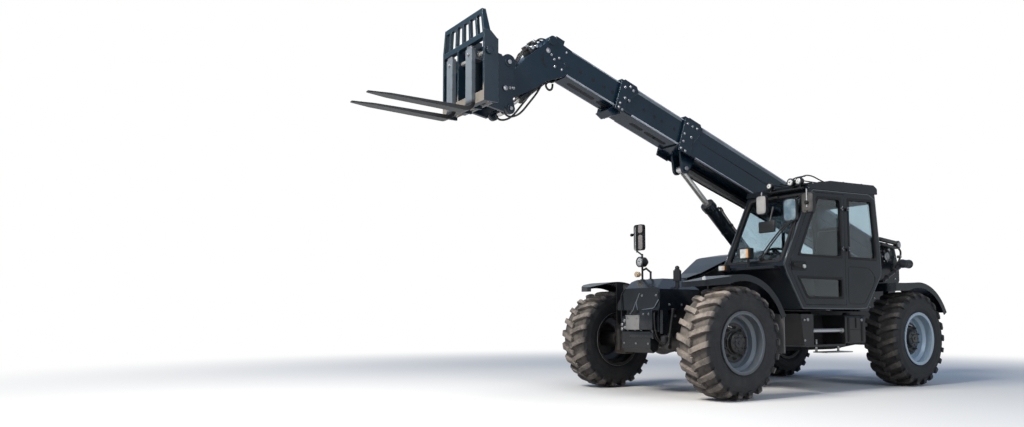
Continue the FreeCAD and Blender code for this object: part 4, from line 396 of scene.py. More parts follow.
# %% Rubbed steel and painted sunlight
def rubbed_and_sunlit_material(name, painted, rubbed, low, high, front_only):
    """Paint that gives way to a second colour between two heights, on all faces or only on those that face forward:
    metal worn bare by rubbing on the fork, painted sunlight on the carriage's front face.
    """
    material = bpy.data.materials.new(name)
    material.use_nodes = True
    net = Net(material.node_tree)
    coordinates = net.add("ShaderNodeTexCoord").outputs
    height = net.add("ShaderNodeSeparateXYZ", {0: coordinates["Object"]}).outputs["Z"]
    mask = net.ramp(height, low, high)
    if front_only:
        facing = net.add("ShaderNodeSeparateXYZ", {0: coordinates["Normal"]}).outputs["X"]
        mask = net.math("MULTIPLY", mask, net.ramp(facing, 0.6, 0.95))
    scratches = net.noise(14.0, 8.0, coordinates["Object"], 0.75)
    mask = net.math("MULTIPLY", mask, net.ramp(scratches, 0.25, 0.5, 0.55, 1.0))
    worn = net.add("ShaderNodeGroup", node_tree=edge_group)
    worn.inputs["Amount"].default_value = 0.7
    colour = net.mix(mask, net.mix(scratches, painted, [1.8 * part for part in painted[:3]] + [1]), rubbed)
    colour = net.mix(worn.outputs["Mask"], colour, (0.34, 0.35, 0.36, 1))
    grain_node = net.add("ShaderNodeGroup", node_tree=grain_group)
    grain_node.inputs["Radius"].default_value = 0.006
    shader = net.add("ShaderNodeBsdfPrincipled", {
        "Base Color": colour, "Roughness": net.math("ADD", net.math("MULTIPLY", scratches, 0.25), 0.25, clamp=True),
        "Metallic": 0.1, "Specular IOR Level": 0.38, "Normal": grain_node.outputs["Normal"]})
    net.add("ShaderNodeOutputMaterial", {"Surface": shader.outputs[0]})
    return material


fork_steel = rubbed_and_sunlit_material("fork_steel", (0.006, 0.006, 0.007, 1), (0.13, 0.155, 0.18, 1), 3.08, 3.14, False)
# The tan on the carriage's forward faces low on the bar is painted sunlight.
carriage_paint_and_sunlight = rubbed_and_sunlit_material("carriage_paint_and_sunlight", (0.005, 0.015, 0.025, 1), (0.2, 0.18, 0.155, 1), 3.28, 3.22, True)
print("rubbed steel ready")

# %% [markdown]
# ## Finishes of the CAD nodes
# Each node keeps its shape and takes one of these finishes.

# %% Finishes of the CAD nodes
NODE_FINISH = {
    "chassis_frame": frame_paint, "boom_tower": paint, "counterweight": paint, "front_axle": cast, "rear_axle": cast,
    "boom_outer": boom_paint_and_painted_sky, "boom_mid": boom_paint_and_painted_sky, "boom_inner": boom_paint_and_painted_sky,
    "lift_barrel": paint, "tilt_barrel": paint, "lift_rod": bright, "tilt_rod": bright,
    "coupler": boom_paint_and_painted_sky, "carriage": carriage_paint_and_sunlight, "fork_left": fork_steel, "fork_right": fork_steel, "fork_shaft": bright,
    "cab_shell": paint, "cab_roof": paint, "cab_glass": glass, "cab_console": plastic, "door_frame": paint,
    "door_glass": glass, "bonnet": paint, "bay_wall": frame_paint, "engine_tray": frame_paint,
    "engine_block": cast, "step_box": frame_paint, "step_bar": silver, "fuel_tank": plastic, "front_nose": paint,
    "air_post": plastic, "roof_lamps": plastic, "head_lamps": plastic, "cab_mirrors": plastic,
    "nose_mirror": plastic, "rear_lamp": plastic, "cab_seat": plastic,
}
WHEEL_PLACES = ("front_left", "front_right", "rear_left", "rear_right")
for wheel_place in WHEEL_PLACES:
    NODE_FINISH["knuckle_" + wheel_place] = cast
    NODE_FINISH["fender_" + wheel_place] = paint
    NODE_FINISH["rim_" + wheel_place] = rim_paint
    NODE_FINISH["tyre_" + wheel_place] = tyre_rubber
    NODE_FINISH["flap_" + wheel_place] = flap_rubber

for node_name, node_material in NODE_FINISH.items():
    if node_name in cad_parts:
        for material_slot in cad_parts[node_name].material_slots:
            material_slot.material = node_material
print([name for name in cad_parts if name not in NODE_FINISH], "left without a finish")

# %% [markdown]
# ## Stage and light
# A pale floor that fades to white in the distance, a broad soft key from the machine's front, and a
# sky-like dome that only reflections and shade see. The camera sees the background as white.

# %% Stage and light
FLOOR_SIZE = 60.0
floor_mesh = bpy.data.meshes.new("floor")
half = FLOOR_SIZE / 2
floor_mesh.from_pydata([(-half, -half, 0), (half, -half, 0), (half, half, 0), (-half, half, 0)], [], [(0, 1, 2, 3)])
floor = bpy.data.objects.new("floor", floor_mesh)
bpy.context.scene.collection.objects.link(floor)
floor_material = bpy.data.materials.new("floor")
floor_material.use_nodes = True
net = Net(floor_material.node_tree)
flat = net.add("ShaderNodeVectorMath", {0: net.place()}, operation="LENGTH").outputs["Value"]
far = net.ramp(flat, 5.0, 13.0)
paths = net.add("ShaderNodeLightPath").outputs
looked_at = net.math("MAXIMUM", paths["Is Camera Ray"],
                     net.math("MAXIMUM", paths["Is Glossy Ray"], paths["Is Transmission Ray"]))
gravel = net.mix(net.noise(3.0, 5.0), (0.78, 0.77, 0.75, 1), (0.82, 0.81, 0.79, 1))
pale = net.add("ShaderNodeBsdfDiffuse", {"Color": net.mix(looked_at, (0.26, 0.26, 0.265, 1), gravel)})
white = net.add("ShaderNodeEmission", {"Color": (1, 1, 1, 1), "Strength": 1.0})
net.add("ShaderNodeOutputMaterial", {"Surface": net.add("ShaderNodeMixShader", {0: far, 1: pale.outputs[0],
                                                                               2: white.outputs[0]}).outputs[0]})
floor_mesh.materials.append(floor_material)

world = bpy.data.worlds.new("studio")
bpy.context.scene.world = world
world.use_nodes = True
net = Net(world.node_tree)
height = net.add("ShaderNodeSeparateXYZ", {0: net.add("ShaderNodeTexCoord").outputs["Generated"]}).outputs["Z"]
paths = net.add("ShaderNodeLightPath").outputs
dome = net.mix(net.ramp(height, 0.0, 0.5), (0.8, 0.88, 1.0, 1), (0.28, 0.42, 0.66, 1))
mirrored = net.mix(net.ramp(height, 0.0, 0.6), (0.9, 0.96, 1.0, 1), (0.4, 0.54, 0.74, 1))
seen = net.math("MAXIMUM", paths["Is Camera Ray"], paths["Is Transmission Ray"])
light = net.add("ShaderNodeBackground", {"Color": net.mix(paths["Is Glossy Ray"], dome, mirrored), "Strength": 0.55})
plain = net.add("ShaderNodeBackground", {"Color": (1, 1, 1, 1), "Strength": 1.0})
net.add("ShaderNodeOutputWorld", {"Surface": net.add("ShaderNodeMixShader", {0: seen, 1: light.outputs[0],
                                                                            2: plain.outputs[0]}).outputs[0]})


def area_light(name, place, target, size, watts, colour):
    """Soft square light that looks at a point."""
    data = bpy.data.lights.new(name, "AREA")
    data.size = size
    data.energy = watts
    data.color = colour
    lamp = bpy.data.objects.new(name, data)
    lamp.location = place
    lamp.rotation_euler = (Vector(target) - Vector(place)).to_track_quat("-Z", "Y").to_euler()
    bpy.context.scene.collection.objects.link(lamp)


area_light("key", (10.0, 1.0, 9.0), (0.5, 0.3, 1.2), 4.0, 1700, (1.0, 0.95, 0.87))
area_light("side", (1.5, 12.0, 6.5), (0.0, 0.0, 1.3), 6.0, 380, (0.95, 0.97, 1.0))
print("stage and lights ready")

# %% [markdown]
# ## Forms
# A `Form` gathers closed shapes in one mesh: turned parts, bolts, bevelled blocks, plates and flat bands.
# Lengths along the boom are given as u, and heights above its centre line as n, from the pivot pin.

# %% Forms
BOOM_ANGLE = math.radians(18.2)
BOOM_PIVOT = Vector((-2.62, 0.0, 1.83))
LEFT = Vector((0, 1, 0))
ALONG = Vector((math.cos(BOOM_ANGLE), 0, math.sin(BOOM_ANGLE)))
ABOVE = Vector((-math.sin(BOOM_ANGLE), 0, math.cos(BOOM_ANGLE)))
BOOM_AXES = (ALONG, LEFT, ABOVE)
WORLD_AXES = (Vector((1, 0, 0)), LEFT, Vector((0, 0, 1)))
SIDES = (1, -1)


def boom(u, y, n):
    """Point in the boom's own coordinates."""
    return BOOM_PIVOT + ALONG * u + LEFT * y + ABOVE * n


def on_side(x, z, y):
    return Vector((x, y, z))


def on_boom_side(u, n, y):
    return boom(u, y, n)


def on_front(y, z, x):
    return Vector((x, y, z))


def on_plan(x, y, z):
    return Vector((x, y, z))


class Form:
    """Mesh under construction; each shape is closed, faces outwards and takes the current finish."""

    def __init__(self):
        self.mesh = bmesh.new()
        self.finish = 0

    def add(self, shape):
        """Close a shape's seams, turn its faces outwards, give it the current finish and join it to the form."""
        bmesh.ops.remove_doubles(shape, verts=shape.verts, dist=1e-5)
        bmesh.ops.recalc_face_normals(shape, faces=shape.faces)
        for face in shape.faces:
            face.material_index = self.finish
            face.smooth = True
        joined = bpy.data.meshes.new("shape")
        shape.to_mesh(joined)
        shape.free()
        self.mesh.from_mesh(joined)
        bpy.data.meshes.remove(joined)

    def turned(self, place, axis, rows, sides=20):
        """Turned part: a profile of distance along the axis and radius is spun about the axis."""
        place, along = Vector(place), Vector(axis).normalized()
        across = along.orthogonal().normalized()
        profile = [(rows[0][0], 0.0)] + [row for row in rows if row[1]] + [(rows[-1][0], 0.0)]
        shape = bmesh.new()
        verts = [shape.verts.new(place + along * distance + across * radius) for distance, radius in profile]
        edges = [shape.edges.new(pair) for pair in zip(verts, verts[1:])]
        bmesh.ops.spin(shape, geom=verts + edges, cent=place, axis=along, angle=math.tau, steps=sides, use_merge=True)
        self.add(shape)

    def bolt(self, place, axis, size):
        """Hexagon head on a washer."""
        self.turned(place, axis, [(-0.001, size * 1.4), (size * 0.2, size * 1.4), (size * 0.25, size * 1.3)], 14)
        self.turned(place, axis, [(size * 0.2, size), (size * 0.9, size), (size * 1.1, size * 0.8)], 6)

    def block(self, centre, size, bevel=0.004, axes=WORLD_AXES):
        """Box with rounded edges, turned to a set of axes."""
        basis = Matrix(axes).transposed().to_4x4()
        basis.translation = Vector(centre)
        shape = bmesh.new()
        bmesh.ops.create_cube(shape, size=1.0, matrix=basis @ Matrix.Diagonal((*size, 1.0)))
        bmesh.ops.bevel(shape, geom=shape.edges[:], offset=min(bevel, 0.45 * min(size)), segments=2, profile=0.5,
                        affect="EDGES", material=-1)
        self.add(shape)

    def thicken(self, shape, faces, move):
        """Extrude faces along a vector and add the closed shape."""
        made = bmesh.ops.extrude_face_region(shape, geom=faces)
        moved = [item for item in made["geom"] if isinstance(item, bmesh.types.BMVert)]
        bmesh.ops.translate(shape, verts=moved, vec=move)
        self.add(shape)

    def plate(self, outline, low, high, spot=on_side):
        """Outline extruded between two depths."""
        shape = bmesh.new()
        face = shape.faces.new([shape.verts.new(spot(a, b, low)) for a, b in outline])
        self.thicken(shape, [face], spot(0, 0, high) - spot(0, 0, low))

    def band(self, outer, inner, low, high, spot=on_side):
        """Flat ring bridged between two outlines and extruded between two depths."""
        shape = bmesh.new()
        loops = [[shape.verts.new(spot(a, b, low)) for a, b in line] for line in (outer, inner)]
        edges = [shape.edges.new((loop[i - 1], loop[i])) for loop in loops for i in range(len(loop))]
        ring = bmesh.ops.bridge_loops(shape, edges=edges)["faces"]
        self.thicken(shape, ring, spot(0, 0, high) - spot(0, 0, low))

    def seal(self, outline, grow, width, low, high, corner, spot=on_side):
        """Band along a window's edge with rounded corners."""
        self.band(rounded(inset(outline, -grow), corner), rounded(inset(outline, width - grow), corner * 0.75),
                  low, high, spot)


def inset(points, distance):
    """Outline moved inwards by a distance."""
    count = len(points)
    area = sum(points[i][0] * points[(i + 1) % count][1] - points[(i + 1) % count][0] * points[i][1]
               for i in range(count))
    turn = 1.0 if area > 0 else -1.0
    moved = []
    for i in range(count):
        before, here, after = (Vector(points[k % count]) for k in (i - 1, i, i + 1))
        first, second = (here - before).normalized(), (after - here).normalized()
        n1, n2 = Vector((-first.y, first.x)) * turn, Vector((-second.y, second.x)) * turn
        moved.append(here + (n1 + n2) * (distance / (1 + n1.dot(n2))))
    return moved


def rounded(points, radius, steps=4):
    """Outline with each corner replaced by a short curve."""
    points = [Vector(point) for point in points]
    curve = []
    for i, here in enumerate(points):
        before, after = points[i - 1], points[(i + 1) % len(points)]
        start = here + (before - here).normalized() * radius
        end = here + (after - here).normalized() * radius
        for k in range(steps + 1):
            t = k / steps
            curve.append(start * (1 - t) ** 2 + here * 2 * t * (1 - t) + end * t ** 2)
    return curve


def hand_in(thing, body, materials):
    """Link a finished piece, give it its materials and let it ride on a body."""
    for material in materials:
        thing.data.materials.append(material)
    bpy.context.scene.collection.objects.link(thing)
    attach(thing, body)
    return thing


def piece(name, form, body, slot, *materials, angle=35):
    """Object from a form, with creases kept sharp."""
    mesh = bpy.data.meshes.new(name)
    form.mesh.to_mesh(mesh)
    form.mesh.free()
    mesh.set_sharp_from_angle(angle=math.radians(angle))
    return hand_in(bpy.data.objects.new(name, mesh), body, materials)


def pipes(name, body, material, radius, routes, order=3):
    """Round pipes or hoses, each along its own route of points."""
    data = bpy.data.curves.new(name, "CURVE")
    data.dimensions = "3D"
    data.bevel_depth = radius
    data.bevel_resolution = 3
    data.resolution_u = 6
    data.use_fill_caps = True
    for route in routes:
        spline = data.splines.new("NURBS")
        spline.points.add(len(route) - 1)
        for point, place in zip(spline.points, route):
            point.co = (*place, 1.0)
        spline.order_u = min(order, len(route))
        spline.use_endpoint_u = True
    return hand_in(bpy.data.objects.new(name, data), body, [material])


print("form helpers ready")

# %% [markdown]
# ## Boom sections
# The welded box sections get rolled corner edges painted pale as a highlight, pale bands under their top
# edges as a painted highlight, a weld seam along the outer one, dark discs and slots on the sliding ones
# as the painted shade inside their bores, and the bolts of their wear pads.

# %% Boom sections
SECTIONS = {
    "boom_outer": {"half": 0.19, "top": 0.219, "low": -0.219, "roll": 0.0135, "start": -0.25, "end": 4.07},
    "boom_mid": {"half": 0.16, "top": 0.195, "low": -0.155, "roll": 0.012, "start": 1.75, "end": 5.17},
    "boom_inner": {"half": 0.13, "top": 0.176, "low": -0.136, "roll": 0.011, "start": 2.65, "end": 6.17},
}
# The rolled corner edges are paler than the paint, as a painted highlight.
for body, size in SECTIONS.items():
    roll = size["roll"]
    tuck = roll - 0.0018
    corners = [(side * (size["half"] - tuck), n) for side in SIDES for n in (size["top"] - tuck, size["low"] + tuck)]
    pipes(body + "_edges", body, edge_highlight_paint, roll,
          [[boom(size["start"], y, n), boom(size["end"], y, n)] for y, n in corners])

OUTER_BOLTS = ((4.33, 0.145), (4.245, 0.145), (4.165, 0.152), (4.345, 0.0), (4.225, 0.003), (4.35, -0.2),
               (4.272, -0.205), (4.335, -0.1))
MID_BOLTS = ((5.375, 0.124), (5.3, 0.165), (5.245, 0.14), (5.34, -0.003), (5.39, -0.095), (5.393, -0.151),
             (5.337, -0.158), (5.272, -0.006))
COLLARS = {
    "boom_outer": {"bolts": OUTER_BOLTS, "face": 0.2, "top": 0.245, "rows": (4.2, 4.31), "across": (-0.1, 0.0, 0.1)},
    "boom_mid": {"bolts": MID_BOLTS, "face": 0.174, "top": 0.225, "rows": (5.27, 5.37), "across": (-0.09, 0.09)},
}
for body, collar in COLLARS.items():
    form = Form()
    for side in SIDES:
        for u, n in collar["bolts"]:
            form.bolt(boom(u, side * collar["face"], n), (0, side, 0), 0.013)
    for u in collar["rows"]:
        for y in collar["across"]:
            form.bolt(boom(u, y, collar["top"]), ABOVE, 0.014)
    piece(body + "_bolts", form, body, "bright_steel", zinc)

# A pale strip under each top edge of the outer and mid sections is a painted highlight.
HIGHLIGHT_BANDS = {"boom_outer": (0.9, 4.06, 0.19, 0.162, 0.202), "boom_mid": (4.4, 5.16, 0.16, 0.145, 0.18)}
for body, (start, end, face, low, high) in HIGHLIGHT_BANDS.items():
    form = Form()
    for side in SIDES:
        form.block(boom((start + end) / 2, side * (face + 0.0002), (low + high) / 2), (end - start, 0.002, high - low), 0.0009,
                   BOOM_AXES)
    piece(body + "_highlight_bands", form, body, "dark_paint", highlight_band_paint)

form = Form()
for side in SIDES:
    form.block(boom(2.2, side * 0.1905, 0.012), (3.7, 0.0036, 0.011), 0.0014, BOOM_AXES)
    for u, n in ((4.18, -0.06), (4.08, 0.15)):
        form.block(boom(u, side * 0.1995, n), (0.012, 0.004, 0.1), 0.0014, BOOM_AXES)
piece("boom_seams", form, "boom_outer", "dark_paint", rubber)

# Black discs on the sides and slots underneath are the painted shade inside bores and slots.
BORE_SHADES = {"boom_mid": ((5.013, 4.833, 4.708, 4.49), 0.16), "boom_inner": ((6.0, 5.805, 5.637, 5.504), 0.13)}
SLOT_SHADES = {"boom_mid": ((4.55, 4.7, 4.95), -0.155), "boom_inner": ((5.5, 5.75, 5.95), -0.136)}
for body, (stations, face) in BORE_SHADES.items():
    form = Form()
    for side in SIDES:
        for u in stations:
            form.turned(boom(u, side * face, 0.0), (0, side, 0), [(-0.004, 0.023), (0.00015, 0.023), (0.00015, 0.0)], 20)
    stations, under = SLOT_SHADES[body]
    for u in stations:
        outline = [(u + (0.07 if abs(a) < 90 else -0.07) + 0.035 * math.cos(math.radians(a)), 0.035 * math.sin(math.radians(a)))
                   for a in range(-80, 261, 20)]
        form.plate(outline, under - 0.00015, under + 0.004, boom)
    piece(body + "_bore_shades", form, body, "dark_plastic", rubber)
print("boom sections dressed")

# %% [markdown]
# The tail has a bolted end plate and a capped pivot pin, the hose tray under the right flange is ribbed,
# and hoses run in the shade below the section.

# %% Boom tail and tray
form = Form()
for side in SIDES:
    form.turned((BOOM_PIVOT.x, side * 0.284, BOOM_PIVOT.z), (0, side, 0),
                [(0, 0.062), (0.012, 0.062), (0.016, 0.056), (0.016, 0.03), (0.024, 0.026), (0.024, 0)], 28)
    for turn in range(6):
        a = math.tau * turn / 6
        spot = (BOOM_PIVOT.x + 0.078 * math.cos(a), side * 0.269, BOOM_PIVOT.z + 0.078 * math.sin(a))
        form.bolt(spot, (0, side, 0), 0.009)
    for x, z in ((-2.2, 1.2), (-2.32, 1.2), (-2.2, 1.06), (-2.32, 1.06), (-2.88, 1.5), (-2.9, 1.84)):
        form.bolt((x, side * 0.25, z), (0, side, 0), 0.012)
piece("tower_pin_caps", form, "chassis", "bright_steel", zinc)

form = Form()
for start, end, radius in (((-2.42, 0.3, 2.085), (-2.86, 0.3, 2.045), 0.032), ((-2.45, 0.3, 2.01), (-2.84, 0.3, 1.975), 0.026)):
    along = Vector(end) - Vector(start)
    form.turned(start, along, [(0, radius * 0.6), (0.01, radius), (along.length - 0.02, radius), (along.length, radius * 0.7)], 20)
for x, z, radius in ((-2.89, 2.02, 0.062), (-2.62, 1.93, 0.035), (-2.5, 1.9, 0.028)):
    form.turned((x, 0.27, z), (0, 1, 0), [(0, radius), (0.05, radius), (0.058, radius * 0.8), (0.058, 0)], 24)
form.finish = 1
for x, z, radius in ((-2.89, 2.02, 0.04), (-2.62, 1.93, 0.02), (-2.92, 1.84, 0.022)):
    form.turned((x, 0.28, z), (0, 1, 0), [(0, radius), (0.053, radius), (0.056, radius * 0.6), (0.056, 0)], 20)
piece("tower_manifold", form, "chassis", "cast_grey", plastic, zinc)
pipes("tower_side_hoses", "chassis", hose_rubber, 0.014,
      [[(-2.4, 0.3 + dy, 2.06 - k * 0.03), (-2.3, 0.31 + dy, 2.0 - k * 0.03), (-2.32, 0.315 + dy, 1.8), (-2.4, 0.31 + dy, 1.62),
        (-2.42, 0.27, 1.45)] for k, dy in ((0, 0.0), (1, 0.012), (2, 0.024))]
      + [[(-2.84, 0.3, 2.0), (-2.95, 0.31, 1.96), (-2.96, 0.31, 1.86), (-2.9, 0.3, 1.75), (-2.82, 0.27, 1.62)]])

form = Form()
for y in (-0.12, 0.12):
    for n in (-0.12, 0.16):
        form.bolt(boom(-0.33, y, n), -ALONG, 0.012)
form.block(boom(-0.336, 0.0, 0.02), (0.014, 0.2, 0.2), 0.005, BOOM_AXES)
piece("boom_end_plate", form, "boom_outer", "dark_paint", boom_paint_and_painted_sky)

form = Form()
TRAY = {"start": 0.72, "end": 3.94, "low": -0.264, "high": -0.219, "outer": -0.19, "inner": -0.105}
middle, length = (TRAY["start"] + TRAY["end"]) / 2, TRAY["end"] - TRAY["start"]
for k in range(6):
    form.block(boom(middle, TRAY["outer"] + 0.008 + k * 0.0138, TRAY["low"] - 0.002), (length, 0.007, 0.008), 0.002,
               BOOM_AXES)
for k in range(3):
    form.block(boom(middle, TRAY["inner"] + 0.002, TRAY["low"] + 0.008 + k * 0.0138), (length, 0.008, 0.007), 0.002,
               BOOM_AXES)
for k in range(9):
    form.block(boom(TRAY["start"] + 0.15 + k * 0.365, -0.147, TRAY["low"] - 0.004), (0.03, 0.09, 0.012), 0.003, BOOM_AXES)
piece("hose_tray", form, "boom_outer", "fork_steel", tray_grey)

pipes("boom_hoses", "boom_outer", hose_rubber, 0.012,
      [[boom(u, y, -0.19 - 0.006 * (i % 2)) for i, u in enumerate((0.3, 1.2, 2.1, 3.0, 3.9))]
       for y in (-0.147, -0.12, 0.12, 0.147)])
pipes("tray_hose", "boom_outer", hose_rubber, 0.011,
      [[boom(4.0, -0.12, -0.25), boom(3.9, -0.125, -0.3), boom(3.6, -0.13, -0.31), boom(2.6, -0.13, -0.285),
        boom(1.4, -0.13, -0.283), boom(0.75, -0.12, -0.29)]])
pipes("tail_hoses", "boom_outer", hose_rubber, 0.014,
      [[boom(0.12, y, 0.2), boom(-0.1, y, 0.29), boom(-0.36, y, 0.27), boom(-0.42, y, 0.05), boom(-0.37, y, -0.05)]
       for y in (-0.09, -0.04, 0.02, 0.07, 0.12)])
print("tail and tray dressed")

# %% [markdown]
# ## Neck and fork head
# The neck's side plates carry pin heads and bolts, a valve block sits on its upper slope, and two hoses
# loop from its underside to the tilt cylinder's eye.

# %% Neck
form = Form()
form.finish = 1
for side in SIDES:
    face = side * 0.13
    form.turned(boom(6.484, face, 0.017), (0, side, 0), [(0, 0.03), (0.006, 0.03), (0.012, 0.022), (0.014, 0)], 24)
    for u, n in ((6.428, -0.007), (6.378, -0.038), (6.322, 0.009), (6.346, -0.112), (6.25, 0.12), (6.25, -0.1)):
        form.bolt(boom(u, face, n), (0, side, 0), 0.011)
form.finish = 0
for side in SIDES:
    # A black sheet shaped like a slot on each side plate is the painted shade inside the slot.
    slot = [(6.535, -0.03), (6.55, -0.09), (6.52, -0.15), (6.455, -0.185), (6.45, -0.165), (6.5, -0.13), (6.525, -0.08)]
    form.plate(slot, side * 0.1295, side * 0.1312, on_boom_side)
piece("neck_bolts", form, "boom_inner", "bright_steel", rubber, zinc)

SLOPE = ALONG * 0.551 - ABOVE * 0.834
SLOPE_UP = ALONG * 0.834 + ABOVE * 0.551
SLOPE_AXES = (SLOPE, LEFT, SLOPE_UP)
SLOPE_START = boom(6.56, 0.0, 0.044)
form = Form()
for t, y, h, size in ((0.09, 0.0, 0.035, (0.15, 0.15, 0.075)), (0.05, 0.02, 0.085, (0.05, 0.1, 0.04)),
                      (0.125, -0.02, 0.08, (0.045, 0.08, 0.035)), (0.02, -0.05, 0.05, (0.05, 0.06, 0.06))):
    form.block(SLOPE_START + SLOPE * t + LEFT * y + SLOPE_UP * h, size, 0.005, SLOPE_AXES)
form.finish = 1
for t, y, h, radius in ((0.06, 0.075, 0.03, 0.022), (0.12, 0.075, 0.045, 0.026), (0.05, 0.07, 0.09, 0.016),
                        (0.125, 0.02, 0.085, 0.015)):
    form.turned(SLOPE_START + SLOPE * t + LEFT * y + SLOPE_UP * h, (0, 1, 0),
                [(-0.01, radius), (0.014, radius), (0.022, radius * 0.8), (0.022, 0)], 18)
form.finish = 2
form.turned(boom(6.77, 0.05, -0.3), SLOPE_UP, [(-0.02, 0.018), (0.02, 0.018), (0.022, 0.026), (0.045, 0.026), (0.05, 0)], 12)
piece("neck_valves", form, "boom_inner", "cast_grey", cast, reflector, plastic)
pipes("neck_pipes", "boom_inner", hose_rubber, 0.009,
      [[SLOPE_START + SLOPE * 0.16 + LEFT * y + SLOPE_UP * 0.05, SLOPE_START + SLOPE * 0.21 + LEFT * y + SLOPE_UP * 0.07,
        SLOPE_START + SLOPE * 0.28 + LEFT * y + SLOPE_UP * 0.03, SLOPE_START + SLOPE * 0.4 + LEFT * y + SLOPE_UP * -0.005]
       for y in (-0.05, 0.0, 0.04)]
      + [[SLOPE_START + LEFT * y + SLOPE_UP * 0.06, SLOPE_START - SLOPE * 0.07 + LEFT * y + SLOPE_UP * 0.1,
          boom(6.4, y, 0.2), boom(6.25, y, 0.21)] for y in (-0.04, 0.03)])
pipes("tilt_hoses", "boom_inner", hose_rubber, 0.011,
      [[boom(6.42, y, -0.36), boom(6.44, y, -0.47), boom(6.5, y, -0.62), boom(6.57, y, -0.8), boom(6.65, y, -0.885),
        boom(6.735, y, -0.915), boom(6.77, y, -0.88)] for y in (0.085, -0.085)])
pipes("neck_ring", "boom_inner", hose_rubber, 0.012,
      [[boom(6.2, 0, -0.13), boom(6.23, 0, -0.22), boom(6.3, 0, -0.24), boom(6.33, 0, -0.3), boom(6.27, 0, -0.34),
        boom(6.22, 0, -0.3), boom(6.24, 0, -0.24)]])
print("neck dressed")

# %% Fork head
form = Form()
for side in SIDES:
    for x, z, face, radius in ((4.09, 3.62, 0.204, 0.024), (4.07, 3.12, 0.203, 0.02)):
        form.turned((x, side * face, z), (0, side, 0), [(0, radius), (0.004, radius), (0.007, radius * 0.85), (0.007, 0)], 24)
    form.turned((4.1396, side * 0.196, 3.3303), (0, side, 0), [(-0.001, 0.028), (0.006, 0.028), (0.009, 0.02), (0.009, 0)], 24)
    for x, z in ((4.075, 3.345), (4.03, 3.35)):
        form.bolt((x, side * 0.186, z), (0, side, 0), 0.012)
piece("fork_head_pins", form, "fork_head", "bright_steel", zinc)

form = Form()
for side in SIDES:
    for x, z, face in ((4.09, 3.62, 0.1865), (4.07, 3.12, 0.1925)):
        form.turned((x, side * face, z), (0, side, 0), [(-0.001, 0.05), (0.006, 0.05), (0.01, 0.045), (0.01, 0.03),
                                                       (0.006, 0.026), (0.006, 0)], 28)
    form.turned((4.49, side * 0.448, 3.6), (0, side, 0), [(-0.002, 0.025), (0.004, 0.025), (0.004, 0.04), (0.014, 0.04),
                                                         (0.014, 0.02), (0.014, 0)], 24)
piece("fork_head_bosses", form, "fork_head", "dark_paint", boom_paint_and_painted_sky)

form = Form()
for side in SIDES:
    y = side * 0.205
    for edge in (-0.068, 0.068):
        form.turned((4.49, y + edge, 3.6), (0, 1, 0), [(-0.006, 0.0252), (-0.006, 0.036), (0.006, 0.036), (0.006, 0.0252)], 20)
    form.block((4.5752, y, 3.672), (0.04, 0.09, 0.03), 0.006)
    form.bolt((4.596, y, 3.6), (1, 0, 0), 0.014)
piece("fork_collars", form, "fork_head", "fork_steel", zinc)
print("fork head dressed")

# %% [markdown]
# ## Cylinders and axles
# Glands, ports, grease nipples and feed pipes on the two cylinders, then the steering cylinders, tie rods
# and hub bolts that sit on each axle.

# %% Cylinders
CYLINDERS = {
    "lift": {"foot": Vector((-1.1, 0, 0.612)), "eye": Vector((1.3836, 0, 2.78)), "radius": 0.079, "shown": 0.62},
    "tilt": {"foot": boom(6.215, 0, -0.02), "eye": Vector((4.07, 0, 3.12)), "radius": 0.048, "shown": 0.3},
}
for label, ram in CYLINDERS.items():
    axis = (ram["eye"] - ram["foot"]).normalized()
    up = LEFT.cross(axis) if LEFT.cross(axis).z > 0 else -LEFT.cross(axis)
    gland = ram["foot"] + axis * ((ram["eye"] - ram["foot"]).length - ram["shown"])
    radius = ram["radius"]
    axes = (axis, LEFT, LEFT.cross(axis) * -1)
    form = Form()
    form.turned(gland - axis * 0.012, axis, [(0, radius + 0.008), (0.022, radius + 0.008), (0.026, radius * 0.8),
                                             (0.026, radius * 0.62)], 32)
    for k in range(6):
        a = math.tau * (k + 0.5) / 6
        out = LEFT * math.cos(a) + up * math.sin(a)
        form.block(gland - axis * 0.05 + out * (radius + 0.011), (0.05, 0.012, 0.012), 0.002, axes)
    for along in (0.16, ram["shown"] * 0.35):
        port = gland - axis * (along + 0.02) + up * (radius - 0.004)
        form.turned(port, up, [(0, 0.022), (0.024, 0.022), (0.026, 0.017), (0.05, 0.017), (0.052, 0.0)], 12)
    piece(label + "_gland", form, label + "_barrel", "cast_grey", cast)
    start = gland - axis * 0.18 + up * (radius + 0.045)
    run = (gland - ram["foot"]).length
    back = ram["foot"] + axis * run * 0.22 + up * (radius + 0.02)
    pipes(label + "_feed", label + "_barrel", hose_rubber, 0.009,
          [[start + LEFT * y, start - axis * 0.04 + up * 0.012 + LEFT * y, start - axis * 0.1 - up * 0.02 + LEFT * y,
            (start + back) / 2 - up * 0.012 + LEFT * y, back + LEFT * y] for y in (0.0, 0.028)])
    form = Form()
    for share in (0.35, 0.6, 0.82):
        centre = ram["foot"] + axis * run * share
        form.turned(centre - axis * 0.012, axis, [(0, radius - 0.004), (0, radius + 0.004), (0.024, radius + 0.004),
                                                  (0.024, radius - 0.004)], 32)
        form.block(centre + up * (radius + 0.018) + LEFT * 0.014, (0.026, 0.07, 0.03), 0.005, axes)
    piece(label + "_clamps", form, label + "_barrel", "dark_paint", paint)
form = Form()
for side in SIDES:
    form.turned(boom(4.1, side * 0.1035, -0.348), (0, side, 0), [(0, 0.03), (0.004, 0.03), (0.009, 0.024), (0.009, 0)], 24)
piece("lift_pin_caps", form, "boom_outer", "bright_steel", zinc)
print("cylinders dressed")

